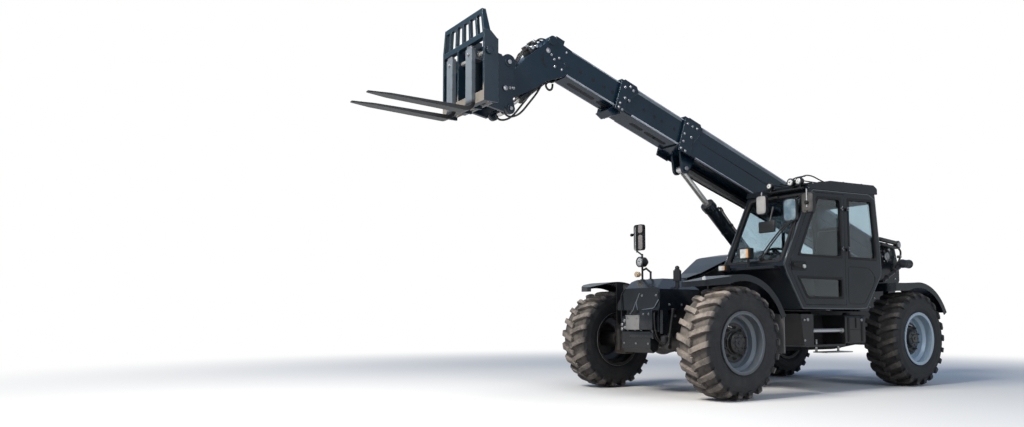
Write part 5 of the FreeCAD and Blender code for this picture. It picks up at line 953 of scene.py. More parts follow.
# %% Axles
for label, x, back in (("front", 1.73, -1), ("rear", -1.73, 1)):
    form = Form()
    place = x + back * 0.17
    form.turned((place, -0.3, 0.7), (0, 1, 0), [(0, 0.04), (0.02, 0.05), (0.58, 0.05), (0.6, 0.04)], 24)
    form.turned((place, -0.62, 0.7), (0, 1, 0), [(0, 0.02), (1.24, 0.02)], 16)
    for side in SIDES:
        form.turned((place, side * 0.62, 0.7), (0, 0, 1), [(-0.035, 0.03), (-0.02, 0.04), (0.02, 0.04), (0.035, 0.03)], 20)
        form.block((x + back * 0.11, side * 0.2, 0.7), (0.1, 0.05, 0.07), 0.008)
        form.turned((place, side * 0.27, 0.74), (0, 0, 1), [(0, 0.02), (0.03, 0.02), (0.035, 0.014), (0.05, 0.014)], 12)
    piece(label + "_steering_cylinder", form, "chassis", "cast_grey", cast)
    form = Form()
    for face in SIDES:
        for k in range(10):
            a = math.tau * k / 10
            spot = (x + face * 0.145, 0.12 * math.cos(a), 0.63 + 0.12 * math.sin(a))
            if face == back:
                spot = (spot[0], spot[1] * 0.8, spot[2] - 0.015)
            form.bolt(spot, (face, 0, 0), 0.01)
    for side in SIDES:
        for k in range(8):
            a = math.tau * k / 8
            form.bolt((x + 0.08 * math.cos(a), side * 0.61, 0.63 + 0.08 * math.sin(a)), (0, side, 0), 0.009)
        for dx in (-0.09, 0.09):
            form.bolt((x + dx, side * 0.248, 0.69), (0, 0, -1), 0.012)
    piece(label + "_axle_bolts", form, "chassis", "bright_steel", zinc)
    pipes(label + "_axle_hoses", "chassis", hose_rubber, 0.008,
          [[(place, side * 0.27, 0.79), (place, side * 0.26, 0.86), (x + back * 0.1, side * 0.2, 0.93),
            (x, side * 0.16, 0.95)] for side in SIDES])
print("axles dressed")

# %% [markdown]
# ## Wheels
# Each rim carries its ring of nuts, a hub cap with bolts, a filler plug and a valve stem.

# %% Wheels
for label, sign_x, side in (("front_left", 1, 1), ("front_right", 1, -1), ("rear_left", -1, 1), ("rear_right", -1, -1)):
    centre = Vector((sign_x * WHEEL_X, side * WHEEL_Y, WHEEL_Z))
    out = Vector((0, side, 0))
    form = Form()
    for k in range(10):
        a = math.tau * (k + 0.5) / 10
        spot = centre + out * 0.07 + Vector((math.cos(a), 0, math.sin(a))) * 0.17
        form.turned(spot, out, [(-0.001, 0.019), (0.008, 0.019), (0.008, 0.0155), (0.026, 0.0155), (0.03, 0.011),
                                (0.034, 0.009), (0.042, 0.009), (0.042, 0)], 6)
    piece("nuts_" + label, form, "wheel_" + label, "cast_grey", cast, angle=25)
    form = Form()
    for k in range(8):
        a = math.tau * k / 8
        form.bolt(centre + out * 0.1365 + Vector((math.cos(a), 0, math.sin(a))) * 0.084, out, 0.007)
    form.turned(centre + out * 0.136, out, [(-0.002, 0.062), (0.004, 0.062), (0.01, 0.054), (0.01, 0.02), (0.018, 0.016),
                                            (0.018, 0)], 28)
    piece("cap_" + label, form, "wheel_" + label, "dark_paint", paint)
    pipes("valve_" + label, "wheel_" + label, zinc, 0.005,
          [[centre + out * 0.2 + Vector((0.24, 0, 0.185)), centre + out * 0.225 + Vector((0.235, 0, 0.18)),
            centre + out * 0.238 + Vector((0.22, 0, 0.168))]])
print("wheels dressed")

# %% [markdown]
# ## Cab outside
# Rubber seals round off the corners of every window, the cab's edges are rolled tubes painted paler as a
# highlight, and the doors, hinges, handle, wiper and roof get their fittings.

# %% Cab outside
CAB_SIDE = 1.2
CAB_RIGHT = 0.285
CAB_PROFILE = ((0.635, 1.01), (0.973, 1.51), (0.458, 2.455), (-0.88, 2.497), (-0.98, 1.66), (-0.98, 1.455), (-0.634, 1.01))
DOOR_OUTLINE = ((0.575, 1.06), (0.88, 1.515), (0.388, 2.422), (-0.215, 2.441), (-0.215, 1.06))
WINDOWS = {
    "door_seals": ("door", (((0.705, 1.64), (0.308, 2.372), (-0.15, 2.386), (-0.15, 1.64)),
                            ((0.715, 1.395), (0.575, 1.18), (0.53, 1.14), (-0.15, 1.14), (-0.15, 1.395)))),
    "quarter_seal": ("chassis", (((-0.29, 1.64), (-0.29, 2.395), (-0.8, 2.415), (-0.885, 1.72), (-0.878, 1.64)),)),
}
for name, (body, outlines) in WINDOWS.items():
    form = Form()
    for outline in outlines:
        corner = 0.03 if len(outline) == 5 else 0.055
        form.seal(outline, 0.006, 0.03, CAB_SIDE - 0.021, CAB_SIDE + 0.0035, corner)
    piece(name, form, body, "dark_plastic", rubber)

form = Form()
SIDE_WINDOW = ((0.86, 1.56), (0.4, 2.4), (-0.8, 2.42), (-0.88, 1.66), (-0.88, 1.56))
form.seal(SIDE_WINDOW, 0.006, 0.03, CAB_RIGHT - 0.003, CAB_RIGHT + 0.019, 0.03)
form.plate(rounded(((-0.235, 1.56), (-0.185, 1.56), (-0.185, 2.41), (-0.235, 2.41)), 0.01), CAB_RIGHT + 0.001, CAB_RIGHT + 0.0195)
piece("side_window_seal", form, "chassis", "dark_plastic", rubber)

SCREEN_LOW = Vector((0.973, 0, 1.51))
SCREEN_UP = (Vector((0.458, 0, 2.455)) - SCREEN_LOW).normalized()
SCREEN_OUT = LEFT.cross(SCREEN_UP) if LEFT.cross(SCREEN_UP).x > 0 else -LEFT.cross(SCREEN_UP)


def on_screen(y, t, depth):
    """Point on the raked windscreen: across, up the slope and out of it."""
    return SCREEN_LOW + SCREEN_UP * t + SCREEN_OUT * depth + LEFT * y


SCREEN_OUTLINE = ((0.34, 0.06), (1.145, 0.06), (1.145, 1.016), (0.34, 1.016))
form = Form()
form.seal(SCREEN_OUTLINE, 0.006, 0.032, -0.02, 0.003, 0.05, on_screen)
piece("windscreen_seal", form, "chassis", "dark_plastic", rubber)

# The cab's outline tubes are painted paler than the cab, as a highlight.
edge_y = CAB_SIDE - 0.0095
pipes("cab_edges", "chassis", cab_edge_highlight_paint, 0.0115,
      [[(x, y, z) for x, z in (*inset(CAB_PROFILE, 0.0095), inset(CAB_PROFILE, 0.0095)[0])]
       for y in (edge_y, CAB_RIGHT + 0.0095)], order=2)

form = Form()
form.band(inset(DOOR_OUTLINE, -0.001), inset(DOOR_OUTLINE, 0.0055), CAB_SIDE - 0.02, CAB_SIDE - 0.006)
QUARTER_PANEL = ((-0.262, 1.545), (-0.72, 1.54), (-0.835, 1.44), (-0.835, 1.36), (-0.6, 1.075), (-0.262, 1.075))
form.seal(QUARTER_PANEL, 0.0, 0.007, CAB_SIDE - 0.004, CAB_SIDE + 0.0015, 0.07)
piece("cab_panel_lines", form, "chassis", "dark_plastic", rubber)

form = Form()
form.plate(rounded(((0.56, 1.462), (0.83, 1.462), (0.83, 1.575), (0.56, 1.575)), 0.03), CAB_SIDE - 0.002, CAB_SIDE + 0.006)
form.block((0.75, CAB_SIDE + 0.024, 1.525), (0.13, 0.016, 0.036), 0.007)
form.finish = 1
form.turned((0.605, CAB_SIDE + 0.005, 1.512), (0, 1, 0), [(0, 0.024), (0.012, 0.024), (0.016, 0.02), (0.016, 0.012),
                                                         (0.02, 0.01), (0.02, 0)], 24)
piece("door_handle", form, "door", "bright_steel", rubber, silver)

form = Form()
for z in (1.76, 2.26):
    for dx, dz in ((0.075, 0.016), (0.075, -0.016), (0.1, 0.0)):
        form.bolt((-0.245 + dx, CAB_SIDE + 0.01, z + dz), (0, 1, 0), 0.006)
piece("door_hinge_bolts", form, "door", "bright_steel", zinc)
form = Form()
for z in (1.76, 2.26):
    for dz in (0.016, -0.016):
        form.bolt((-0.287, CAB_SIDE + 0.012, z + dz), (0, 1, 0), 0.006)
piece("pillar_hinge_bolts", form, "chassis", "bright_steel", zinc)

form = Form()
ROOF_Y = (CAB_RIGHT - 0.005 + CAB_SIDE + 0.01) / 2
for k in range(5):
    form.block((-0.215, 0.53 + k * 0.106, 2.606), (0.98, 0.018, 0.012), 0.004)
for x, z in ((0.272, 2.555), (-0.705, 2.615)):
    form.block((x, ROOF_Y, z), (0.03, 0.72, 0.016), 0.005)
for x, y in ((-0.49, 1.02), (-0.88, 1.02), (-0.49, 0.42), (-0.88, 0.42)):
    z = 2.612 - (x + 0.85) * 0.0297
    form.turned((x, y, z - 0.004), (0, 0, 1), [(0, 0.03), (0.008, 0.03), (0.01, 0.02), (0.016, 0.014), (0.05, 0.014),
                                               (0.054, 0.01), (0.054, 0)], 16)
form.block((-0.12, 1.0, 2.598), (0.22, 0.05, 0.03), 0.01)
piece("roof_fittings", form, "chassis", "dark_plastic", plastic)

form = Form()
form.seal(((-0.7, 0.395), (0.27, 0.395), (0.27, 1.09), (-0.7, 1.09)), 0.02, 0.035, 2.446, 2.47, 0.04, on_plan)
piece("roof_window_seal", form, "chassis", "dark_plastic", rubber)

pipes("roof_cable", "chassis", hose_rubber, 0.008,
      [[(0.5, 1.118, 2.59), (0.42, 1.1, 2.635), (0.2, 1.05, 2.66), (0.0, 1.01, 2.635), (-0.1, 1.0, 2.62), (-0.2, 1.0, 2.6)],
       [(0.5, 1.0, 2.59), (0.44, 1.01, 2.625), (0.3, 1.03, 2.645)], [(0.51, 0.69, 2.52), (0.47, 0.7, 2.5), (0.45, 0.74, 2.49)]])

form = Form()
for z in (2.1, 1.78):
    form.block((-0.95 - (2.1 - z) * 0.12, 0.42, z), (0.05, 0.05, 0.12), 0.01)
for k in range(7):
    form.block((-0.986, 0.742, 1.52 + k * 0.022), (0.012, 0.62, 0.009), 0.002)
form.block((-0.978, 0.742, 1.586), (0.014, 0.68, 0.2), 0.008)
piece("cab_rear_vents", form, "chassis", "dark_plastic", plastic)
print("cab dressed outside")

# %% Wiper and windscreen fittings
form = Form()
base = on_screen(0.86, 0.105, 0.03)
form.turned(base - SCREEN_OUT * 0.03, SCREEN_OUT, [(0, 0.03), (0.018, 0.03), (0.026, 0.022), (0.05, 0.02), (0.054, 0)], 20)
blade = [on_screen(y, t, 0.018) for y, t in ((1.135, 0.93), (1.175, 0.62), (1.205, 0.335))]
form.block((blade[0] + blade[2]) / 2, (0.012, 0.012, (blade[0] - blade[2]).length), 0.003,
           (SCREEN_OUT.cross((blade[0] - blade[2]).normalized()), SCREEN_OUT, (blade[0] - blade[2]).normalized()))
form.block(on_screen(0.74, 1.0, 0.012), (0.05, 0.1, 0.03), 0.008)
piece("wiper", form, "chassis", "dark_plastic", rubber)
pipes("wiper_arms", "chassis", rubber, 0.009,
      [[base + SCREEN_OUT * 0.012 + LEFT * dy, on_screen(0.93 + dy, 0.3, 0.048), on_screen(1.1 + dy, 0.6, 0.05),
        on_screen(1.165, 0.64 + dy * 0.9, 0.026)] for dy in (0.0, 0.04)])

form = Form()
form.block((0.745, 0.8, 2.01), (0.03, 0.24, 0.14), 0.012)
form.turned((0.7, 0.8, 2.06), (-0.35, 0, 0.9), [(0, 0.011), (0.22, 0.011)], 10)
form.block((0.42, 0.74, 2.405), (0.05, 0.74, 0.05), 0.015)
piece("inner_mirror", form, "chassis", "dark_plastic", plastic)
print("windscreen dressed")

# %% [markdown]
# ## Lamps and mirrors
# Every lamp gets a bezel, a reflector bowl and a domed or ribbed lens. Mirrors get their glass, rods and clamps.

# %% Lamps and mirrors
def round_lamp(label, body, centre, axis, radius):
    """Bezel, bowl and domed lens of a round lamp."""
    form = Form()
    form.turned(centre, axis, [(-0.012, radius * 0.98), (-0.012, radius + 0.005), (0.006, radius + 0.005), (0.01, radius),
                               (0.01, radius * 0.9), (-0.002, radius * 0.86)], 32)
    piece(label + "_bezel", form, body, "dark_plastic", plastic)
    form = Form()
    form.turned(centre, axis, [(0.001, radius * 0.88), (0.004, radius * 0.88), (0.003, radius * 0.3), (0.0035, 0)], 28)
    piece(label + "_bowl", form, body, "bright_steel", reflector)
    form = Form()
    form.turned(centre, axis, [(0.0048, radius * 0.76), (0.012, radius * 0.7), (0.015, radius * 0.5), (0.018, 0)], 32)
    form.finish = 1
    form.turned(centre, axis, [(0.017, radius * 0.22), (0.0205, radius * 0.2), (0.0215, 0)], 24)
    piece(label + "_lens", form, body, "clear_glass", lamp_white, lens)


FORWARD = Vector((1, 0, 0))
for k, (y, radius) in enumerate(((0.69, 0.038), (1.0, 0.044), (1.118, 0.042))):
    round_lamp("roof_lamp_%d" % (k + 1), "chassis", Vector((0.545, y, 2.522 + radius * 0.6)), FORWARD, radius)
round_lamp("nose_lamp", "chassis", Vector((1.8, -0.32, 1.61)), FORWARD, 0.062)
round_lamp("rear_lamp_glass", "chassis", Vector((-3.01, 0.4, 1.725)), -FORWARD, 0.062)

for label, x, y, z, width, height in (("low", 1.15, 0.44, 1.512, 0.125, 0.085), ("high", 1.11, 0.755, 1.672, 0.15, 0.135)):
    outline = [(y + sy * (width / 2 - 0.004), z + sz * (height / 2 - 0.004)) for sy, sz in ((-1, -1), (1, -1), (1, 1), (-1, 1))]
    form = Form()
    form.seal(outline, 0.0, 0.01, x - 0.012, x + 0.008, 0.014, on_front)
    piece(label + "_headlamp_bezel", form, "chassis", "dark_plastic", plastic)
    inner = inset(outline, 0.01)
    split = y + width * 0.24
    form = Form()
    form.plate([(inner[0].x, inner[0].y), (inner[1].x, inner[1].y), (inner[2].x, inner[2].y), (inner[3].x, inner[3].y)],
               x + 0.0005, x + 0.0015, on_front)
    piece(label + "_headlamp_bowl", form, "chassis", "bright_steel", reflector)
    form = Form()
    low_z, high_z, left_y, right_y = inner[0].y, inner[2].y, inner[1].x, inner[0].x
    form.plate(rounded(((right_y, low_z), (split, low_z), (split, high_z), (right_y, high_z)), 0.008), x + 0.002, x + 0.006,
               on_front)
    form.finish = 1
    form.plate(rounded(((split + 0.001, low_z), (left_y, low_z), (left_y, high_z), (split + 0.001, high_z)), 0.006),
               x + 0.002, x + 0.0055, on_front)
    piece(label + "_headlamp_lens", form, "chassis", "clear_glass", lamp_white, lamp_amber)

form = Form()
form.turned((1.79, -0.385, 1.455), FORWARD, [(-0.05, 0.02), (-0.03, 0.034), (0.01, 0.036), (0.02, 0.03), (0.026, 0)], 20)
form.turned((1.745, -0.345, 1.455), (0, -1, 0), [(0, 0.012), (0.045, 0.012)], 10)
piece("nose_marker", form, "chassis", "clear_glass", lamp_pale)
form = Form()
form.turned((2.17, 1.1, 1.312), (0, 0, 1), [(0, 0.02), (0.012, 0.022), (0.03, 0.02), (0.04, 0.01), (0.042, 0)], 18)
piece("fender_marker", form, "knuckle_front_left", "clear_glass", lamp_white)

def panel(y, z, width, height):
    """Corners of an upright panel seen from the front."""
    return [(y + sy * width / 2, z + sz * height / 2) for sy, sz in ((-1, -1), (1, -1), (1, 1), (-1, 1))]


for label, (x, y, z), width, height, cover in (("left", (0.65, 1.305, 2.255), 0.148, 0.228, mirror_back),
                                               ("right", (0.685, 0.67, 2.3), 0.138, 0.218, mirror_grey)):
    form = Form()
    form.plate(rounded(panel(y, z, width, height), 0.04), x - 0.002, x + 0.002, on_front)
    form.plate(rounded(panel(y, z, width * 0.75, height * 0.8), 0.03), x + 0.001, x + 0.004, on_front)
    piece(label + "_mirror_back", form, "chassis", "dark_plastic", cover)
    form = Form()
    form.plate(rounded(panel(y, z, width, height), 0.035), x - 0.0475, x - 0.043, on_front)
    piece(label + "_mirror_glass", form, "chassis", "bright_steel", mirror_face)
# The nose mirror's pink face is a painted reflection.
form = Form()
for low, high in ((1.772, 1.962), (1.985, 2.088)):
    form.plate(rounded(panel(-0.36, (low + high) / 2, 0.075, high - low), 0.03), 1.748, 1.7525, on_front)
    form.plate(rounded(panel(-0.4, (low + high) / 2, 0.15, high - low), 0.03), 1.7035, 1.707, on_front)
piece("nose_mirror_glass", form, "chassis", "bright_steel", mirror_painted_pink)

form = Form()
form.plate(rounded(panel(1.115, 2.185, 0.19, 0.28), 0.06), 0.69, 0.722, on_front)
form.turned((0.71, 1.1, 2.19), (-0.28, 0.06, 0.1), [(0, 0.01), (0.15, 0.01)], 12)
form.turned((0.7, 1.18, 2.3), (-0.2, 0.04, 0.1), [(0, 0.012), (0.19, 0.012)], 12)
# The pillar mirror's blue face is a painted reflection.
form.finish = 1
form.plate(rounded(panel(1.115, 2.185, 0.16, 0.25), 0.05), 0.7205, 0.7245, on_front)
piece("pillar_mirror", form, "chassis", "dark_plastic", plastic, mirror_painted_blue)

form = Form()
form.block((1.757, -0.4, 1.975), (0.016, 0.178, 0.022), 0.004)
form.turned((1.76, -0.49, 1.97), (0, -1, 0), [(0, 0.016), (0.012, 0.02), (0.03, 0.02), (0.034, 0)], 14)
form.turned((0.668, 1.305, 2.255), FORWARD, [(-0.004, 0.024), (0.008, 0.024), (0.014, 0.016), (0.014, 0)], 18)
for z in (2.15, 2.36):
    form.turned((0.652, 1.305, z), FORWARD, [(-0.01, 0.014), (0.004, 0.014), (0.006, 0)], 12)
piece("mirror_clamps", form, "chassis", "dark_plastic", rubber)
pipes("mirror_rods", "chassis", silver, 0.0068,
      [[(0.66, 1.305, 2.2), (0.66, 1.305, 2.418)], [(0.672, 0.67, 2.36), (0.672, 0.67, 2.458)],
       [(1.775, -0.43, 1.76), (1.775, -0.43, 2.06)]])
pipes("rear_lamp_sleeve", "chassis", plastic, 0.026,
      [[(-2.33, 0.4, 1.455), (-2.55, 0.4, 1.563), (-2.76, 0.4, 1.666)]])
form = Form()
form.turned((-2.8, 0.4, 1.725), (-1, 0, 0), [(-0.06, 0.03), (-0.03, 0.045), (0.02, 0.066), (0.05, 0.0665), (0.052, 0.0)], 28)
for x in (-2.42, -2.62):
    form.block((x, 0.4, 1.408 + (x + 2.42) * -0.49 + 0.1), (0.03, 0.064, 0.064), 0.01)
piece("rear_lamp_shroud", form, "chassis", "dark_plastic", plastic)
print("lamps and mirrors dressed")

# %% [markdown]
# ## Seat
# Two cushions are grown from slightly small blocks by a cloth simulation with inner pressure, and get a woven
# cover. They replace the plain CAD seat. A moulded shell, guides for a belt and armrests carry them.

# %% Seat materials
seat_cloth = bpy.data.materials.new("seat_cloth")
seat_cloth.use_nodes = True
net = Net(seat_cloth.node_tree)
place = net.place()
warp = net.add("ShaderNodeTexWave", {"Vector": place, "Scale": 240.0, "Distortion": 0.6}, bands_direction="Y")
weft = net.add("ShaderNodeTexWave", {"Vector": place, "Scale": 240.0, "Distortion": 0.6}, bands_direction="Z")
weave = net.math("MULTIPLY", warp.outputs["Fac"], weft.outputs["Fac"])
fade = net.ramp(net.noise(5.0, 6.0, place), 0.35, 0.7)
cloth_colour = net.mix(net.math("MULTIPLY", weave, 0.7), (0.012, 0.013, 0.015, 1), (0.06, 0.062, 0.068, 1))
cloth_colour = net.mix(net.math("MULTIPLY", fade, 0.4), cloth_colour, (0.07, 0.068, 0.064, 1))
bump = net.add("ShaderNodeBump", {"Strength": 0.4, "Distance": 0.0015, "Height": weave})
shader = net.add("ShaderNodeBsdfPrincipled", {"Base Color": cloth_colour, "Roughness": net.math("ADD", fade, 0.6, clamp=True),
                                              "Sheen Weight": 0.25, "Normal": bump.outputs["Normal"]})
net.add("ShaderNodeOutputMaterial", {"Surface": shader.outputs[0]})
print("seat cover ready")

# %% Seat cushions
def cushion(name, outline, low, high, cap):
    """Padded cushion: remeshed block, blown up by cloth, its moves capped and its surface subdivided."""
    form = Form()
    form.plate(rounded(outline, 0.04, 5), low, high)
    mesh = bpy.data.meshes.new(name)
    form.mesh.to_mesh(mesh)
    form.mesh.free()
    thing = bpy.data.objects.new(name, mesh)
    bpy.context.scene.collection.objects.link(thing)
    remesh = thing.modifiers.new("remesh", "REMESH")
    remesh.mode = "VOXEL"
    remesh.voxel_size = 0.006
    rested = bpy.data.meshes.new_from_object(thing.evaluated_get(bpy.context.evaluated_depsgraph_get()))
    thing.modifiers.clear()
    thing.data = rested
    before = [vert.co.copy() for vert in rested.vertices]
    cloth = thing.modifiers.new("cloth", "CLOTH")
    cloth.settings.use_pressure = True
    cloth.settings.uniform_pressure_force = 4.0
    cloth.settings.effector_weights.gravity = 0.0
    for step in range(1, 21):
        bpy.context.scene.frame_set(step)
    blown = bpy.data.meshes.new_from_object(thing.evaluated_get(bpy.context.evaluated_depsgraph_get()))
    for vert, start in zip(blown.vertices, before):
        move = vert.co - start
        if move.length > cap:
            vert.co = start + move * (cap / move.length)
    thing.modifiers.clear()
    thing.data = blown
    bpy.context.scene.frame_set(1)
    smooth = thing.modifiers.new("smooth", "SUBSURF")
    smooth.levels = smooth.render_levels = 1
    finished = bpy.data.meshes.new_from_object(thing.evaluated_get(bpy.context.evaluated_depsgraph_get()))
    thing.modifiers.clear()
    thing.data = finished
    for polygon in finished.polygons:
        polygon.use_smooth = True
    finished.materials.append(seat_cloth)
    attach(thing, "chassis")
    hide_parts("cab_seat")
    print(name, len(finished.polygons), "faces")
    return thing


cushion("seat_base_cushion", ((-0.44, 1.465), (0.03, 1.475), (0.03, 1.53), (-0.44, 1.515)), 0.525, 0.955, 0.024)
cushion("seat_back_cushion", ((-0.5, 1.54), (-0.475, 1.54), (-0.585, 2.08), (-0.63, 2.07)), 0.545, 0.935, 0.024)

form = Form()
form.plate(((-0.46, 1.443), (0.045, 1.443), (0.045, 1.47), (-0.46, 1.46)), 0.51, 0.97)
form.plate(((-0.575, 1.5), (-0.535, 1.5), (-0.645, 2.1), (-0.678, 2.095)), 0.53, 0.95)
form.block((-0.25, 0.475, 1.66), (0.3, 0.05, 0.045), 0.015)
form.block((-0.25, 1.005, 1.66), (0.3, 0.05, 0.045), 0.015)
for y in (0.487, 0.993):
    form.turned((-0.4, y, 1.5), (-0.08, 0, 0.9), [(0, 0.016), (0.14, 0.016)], 12)
piece("seat_shell", form, "chassis", "dark_plastic", plastic)
print("seat done")

# %% Cab inside
form = Form()
wheel_centre = Vector((0.385, 0.74, 1.69))
wheel_axis = Vector((-0.38, 0, 0.92))
form.turned(wheel_centre, wheel_axis, [(-0.02, 0.045), (0.005, 0.052), (0.016, 0.04), (0.018, 0)], 24)
form.turned(wheel_centre + Vector((-0.02, -0.155, 0.03)), wheel_axis, [(0, 0.012), (0.02, 0.012), (0.024, 0.024),
                                                                     (0.045, 0.022), (0.05, 0)], 16)
form.block((0.53, 0.74, 1.62), (0.08, 0.3, 0.13), 0.02)
form.block((0.0, 0.4, 1.56), (0.55, 0.13, 0.04), 0.012)
for x, y in ((0.16, 0.4), (0.22, 0.42), (0.28, 0.38)):
    form.turned((x, y, 1.575), (0.05, 0, 1), [(0, 0.008), (0.09, 0.007), (0.095, 0.016), (0.12, 0.016), (0.125, 0)], 12)
form.turned((0.05, 0.4, 1.575), (0.1, 0, 1), [(0, 0.03), (0.015, 0.022), (0.1, 0.014), (0.11, 0.024), (0.18, 0.026), (0.2, 0.014),
                                             (0.2, 0)], 16)
for y in (0.64, 0.74, 0.84):
    form.block((0.62, y, 1.16), (0.025, 0.07, 0.1), 0.008)
form.block((-0.2, 0.742, 2.445), (0.98, 0.76, 0.012), 0.004)
piece("cab_controls", form, "chassis", "dark_plastic", plastic)
form = Form()
form.block((0.486, 0.74, 1.64), (0.006, 0.22, 0.075), 0.002, (Vector((0.92, 0, 0.39)), LEFT, Vector((-0.39, 0, 0.92))))
for k in range(5):
    form.block((-0.05 + k * 0.05, 0.36, 1.582), (0.03, 0.02, 0.008), 0.003)
piece("cab_dials", form, "chassis", "clear_glass", lens)
print("cab dressed inside")

# %% [markdown]
# ## Bonnet and side bodies
# Louvres, latches and a rubber lip on the engine cover, tread and bolts on the step, a cap and straps on the
# tank, and clips along the mudguards.

# %% Bonnet and side bodies
form = Form()
for k in range(11):
    form.block((-0.55, -1.1515, 1.16 + k * 0.045), (0.62, 0.012, 0.022), 0.004,
               (WORLD_AXES[0], Vector((0, 0.9, 0.42)), Vector((0, -0.42, 0.9))))
form.seal(((-0.89, 1.12), (-0.21, 1.12), (-0.21, 1.66), (-0.89, 1.66)), 0.0, 0.022, -1.152, -1.158, 0.03)
piece("bonnet_louvres", form, "bonnet", "dark_plastic", plastic)
form = Form()
for x in (-0.8, -0.3):
    form.block((x, -1.156, 1.06), (0.06, 0.02, 0.03), 0.006)
    form.turned((x, -1.15, 1.06), (0, -1, 0), [(0, 0.022), (0.01, 0.022), (0.014, 0.014), (0.014, 0)], 16)
piece("bonnet_latches", form, "bonnet", "bright_steel", zinc)

form = Form()
form.turned((0.536, 1.19, 0.884), (0, 1, 0), [(-0.012, 0.02), (0.003, 0.02), (0.006, 0.012), (0.006, 0)], 18)
for z in (0.88, 0.64):
    form.bolt((0.6, 1.19, z), (0, 1, 0), 0.01)
form.turned((-0.542, 1.18, 0.88), (0, 1, 0), [(-0.01, 0.02), (0.006, 0.02), (0.01, 0.014), (0.01, 0)], 18)
form.finish = 1
form.block((-0.423, 1.182, 0.845), (0.024, 0.012, 0.13), 0.005)
form.block((-0.41, 1.181, 0.76), (0.3, 0.004, 0.006), 0.001)
form.block((-0.41, 1.181, 0.915), (0.36, 0.004, 0.006), 0.001)
piece("side_body_bolts", form, "chassis", "bright_steel", zinc, rubber)

form = Form()
for k in range(15):
    form.block((-0.17 + k * 0.04, 1.13, 0.7725), (0.016, 0.03, 0.005), 0.0015)
for x in (-0.197, 0.417):
    form.turned((x, 1.13, 0.75), (1, 0, 0), [(-0.004, 0.034), (0.004, 0.034), (0.004, 0.0)], 18)
form.block((-0.12, 1.06, 0.486), (0.52, 0.2, 0.014), 0.004)
for x in (-0.34, 0.1):
    form.block((x, 0.98, 0.56), (0.03, 0.02, 0.16), 0.004)
piece("step_tread", form, "chassis", "bright_steel", silver)

form = Form()
form.turned((-0.41, 1.06, 0.938), (0, 0, 1), [(0, 0.05), (0.012, 0.05), (0.014, 0.044), (0.03, 0.044), (0.034, 0.03), (0.034, 0)],
            20)
for x in (-0.55, -0.27):
    form.block((x, 0.76, 0.575), (0.04, 0.84, 0.008), 0.003)
    form.block((x, 1.183, 0.76), (0.04, 0.006, 0.3), 0.002)
piece("tank_straps", form, "chassis", "dark_plastic", rubber)
form = Form()
form.block((0.12, 0.36, 0.975), (0.95, 0.03, 0.14), 0.006)
form.block((0.1, 0.62, 0.995), (1.0, 0.5, 0.02), 0.004)
piece("cab_floor_pan", form, "chassis", "dark_paint", frame_paint)
print("side bodies dressed")

# %% [markdown]
# ## Frame and nose
# Bolted bumper blocks, steering stops, pipes and struts at the front, and bolts, pipes and cross pipes along
# the frame.

# %% Frame and nose
FRONT = 2.105
form = Form()
form.block((FRONT + 0.012, -0.1, 0.845), (0.036, 0.235, 0.165), 0.006)
form.block((FRONT + 0.01, -0.1, 0.932), (0.05, 0.235, 0.012), 0.004)
piece("bumper_plate", form, "chassis", "fork_steel", tray_grey)
form = Form()
form.block((FRONT - 0.002, 0.13, 0.88), (0.05, 0.215, 0.235), 0.012)
form.block((FRONT + 0.004, 0.03, 0.7), (0.012, 0.42, 0.06), 0.004)
piece("bumper_side_plate", form, "chassis", "dark_paint", paint)

HOOD_PANEL = ((0.02, 1.205), (0.33, 1.212), (0.345, 1.12), (0.262, 1.015), (-0.02, 0.99), (-0.05, 1.09))
form = Form()
form.plate(rounded(HOOD_PANEL, 0.03), FRONT - 0.01, FRONT + 0.014, on_front)
piece("hood_panel", form, "chassis", "dark_paint", paint)
# The pale rims along the hood panel's edges are a painted highlight.
pipes("hood_highlight_rims", "chassis", highlight_band_paint, 0.006,
      [[(FRONT + 0.011, y, z) for y, z in ((0.015, 1.2), (-0.045, 1.09), (-0.022, 0.996), (0.258, 1.02), (0.34, 1.118))],
       [(FRONT + 0.002, y, z) for y, z in ((-0.056, 1.1), (-0.11, 1.0), (-0.17, 0.95))]], order=2)
form = Form()
for y, z in ((-0.287, 0.823), (-0.235, 0.79), (-0.245, 0.87), (-0.288, 0.77)):
    form.turned((FRONT + 0.02, y, z), FORWARD, [(-0.03, 0.02), (0.012, 0.02), (0.018, 0.012), (0.018, 0)], 16)
for y, z in ((-0.18, 0.9), (-0.02, 0.9), (0.09, 0.95), (0.18, 0.95)):
    form.bolt((FRONT + (0.03 if y < 0 else 0.023), y, z), FORWARD, 0.01)
for y, z in ((0.3, 1.17), (0.06, 1.17), (-0.28, 0.6), (0.14, 0.6), (-0.07, 0.6)):
    form.bolt((FRONT + (0.014 if z > 1 else 0.0), y, z), FORWARD, 0.01)
for y in (-0.24, -0.11, 0.0, 0.19):
    form.turned((FRONT - 0.03, y, 0.762), (0, 0, -1), [(-0.02, 0.014), (0.03, 0.014), (0.035, 0.022), (0.06, 0.022), (0.065, 0.014),
                                                       (0.1, 0.014), (0.1, 0)], 12)
for x in (1.55, 1.75, 1.95):
    form.bolt((x, -0.4, 1.06), (0, -1, 0), 0.011)
    form.bolt((x, 0.345, 1.06), (0, 1, 0), 0.011)
piece("nose_bolts", form, "chassis", "bright_steel", zinc)
pipes("nose_pole", "chassis", plastic, 0.008,
      [[(FRONT - 0.06, -0.32, 1.26), (FRONT + 0.012, -0.318, 1.2), (FRONT + 0.014, -0.315, 1.1), (FRONT + 0.02, -0.3, 0.85)]])
form = Form()
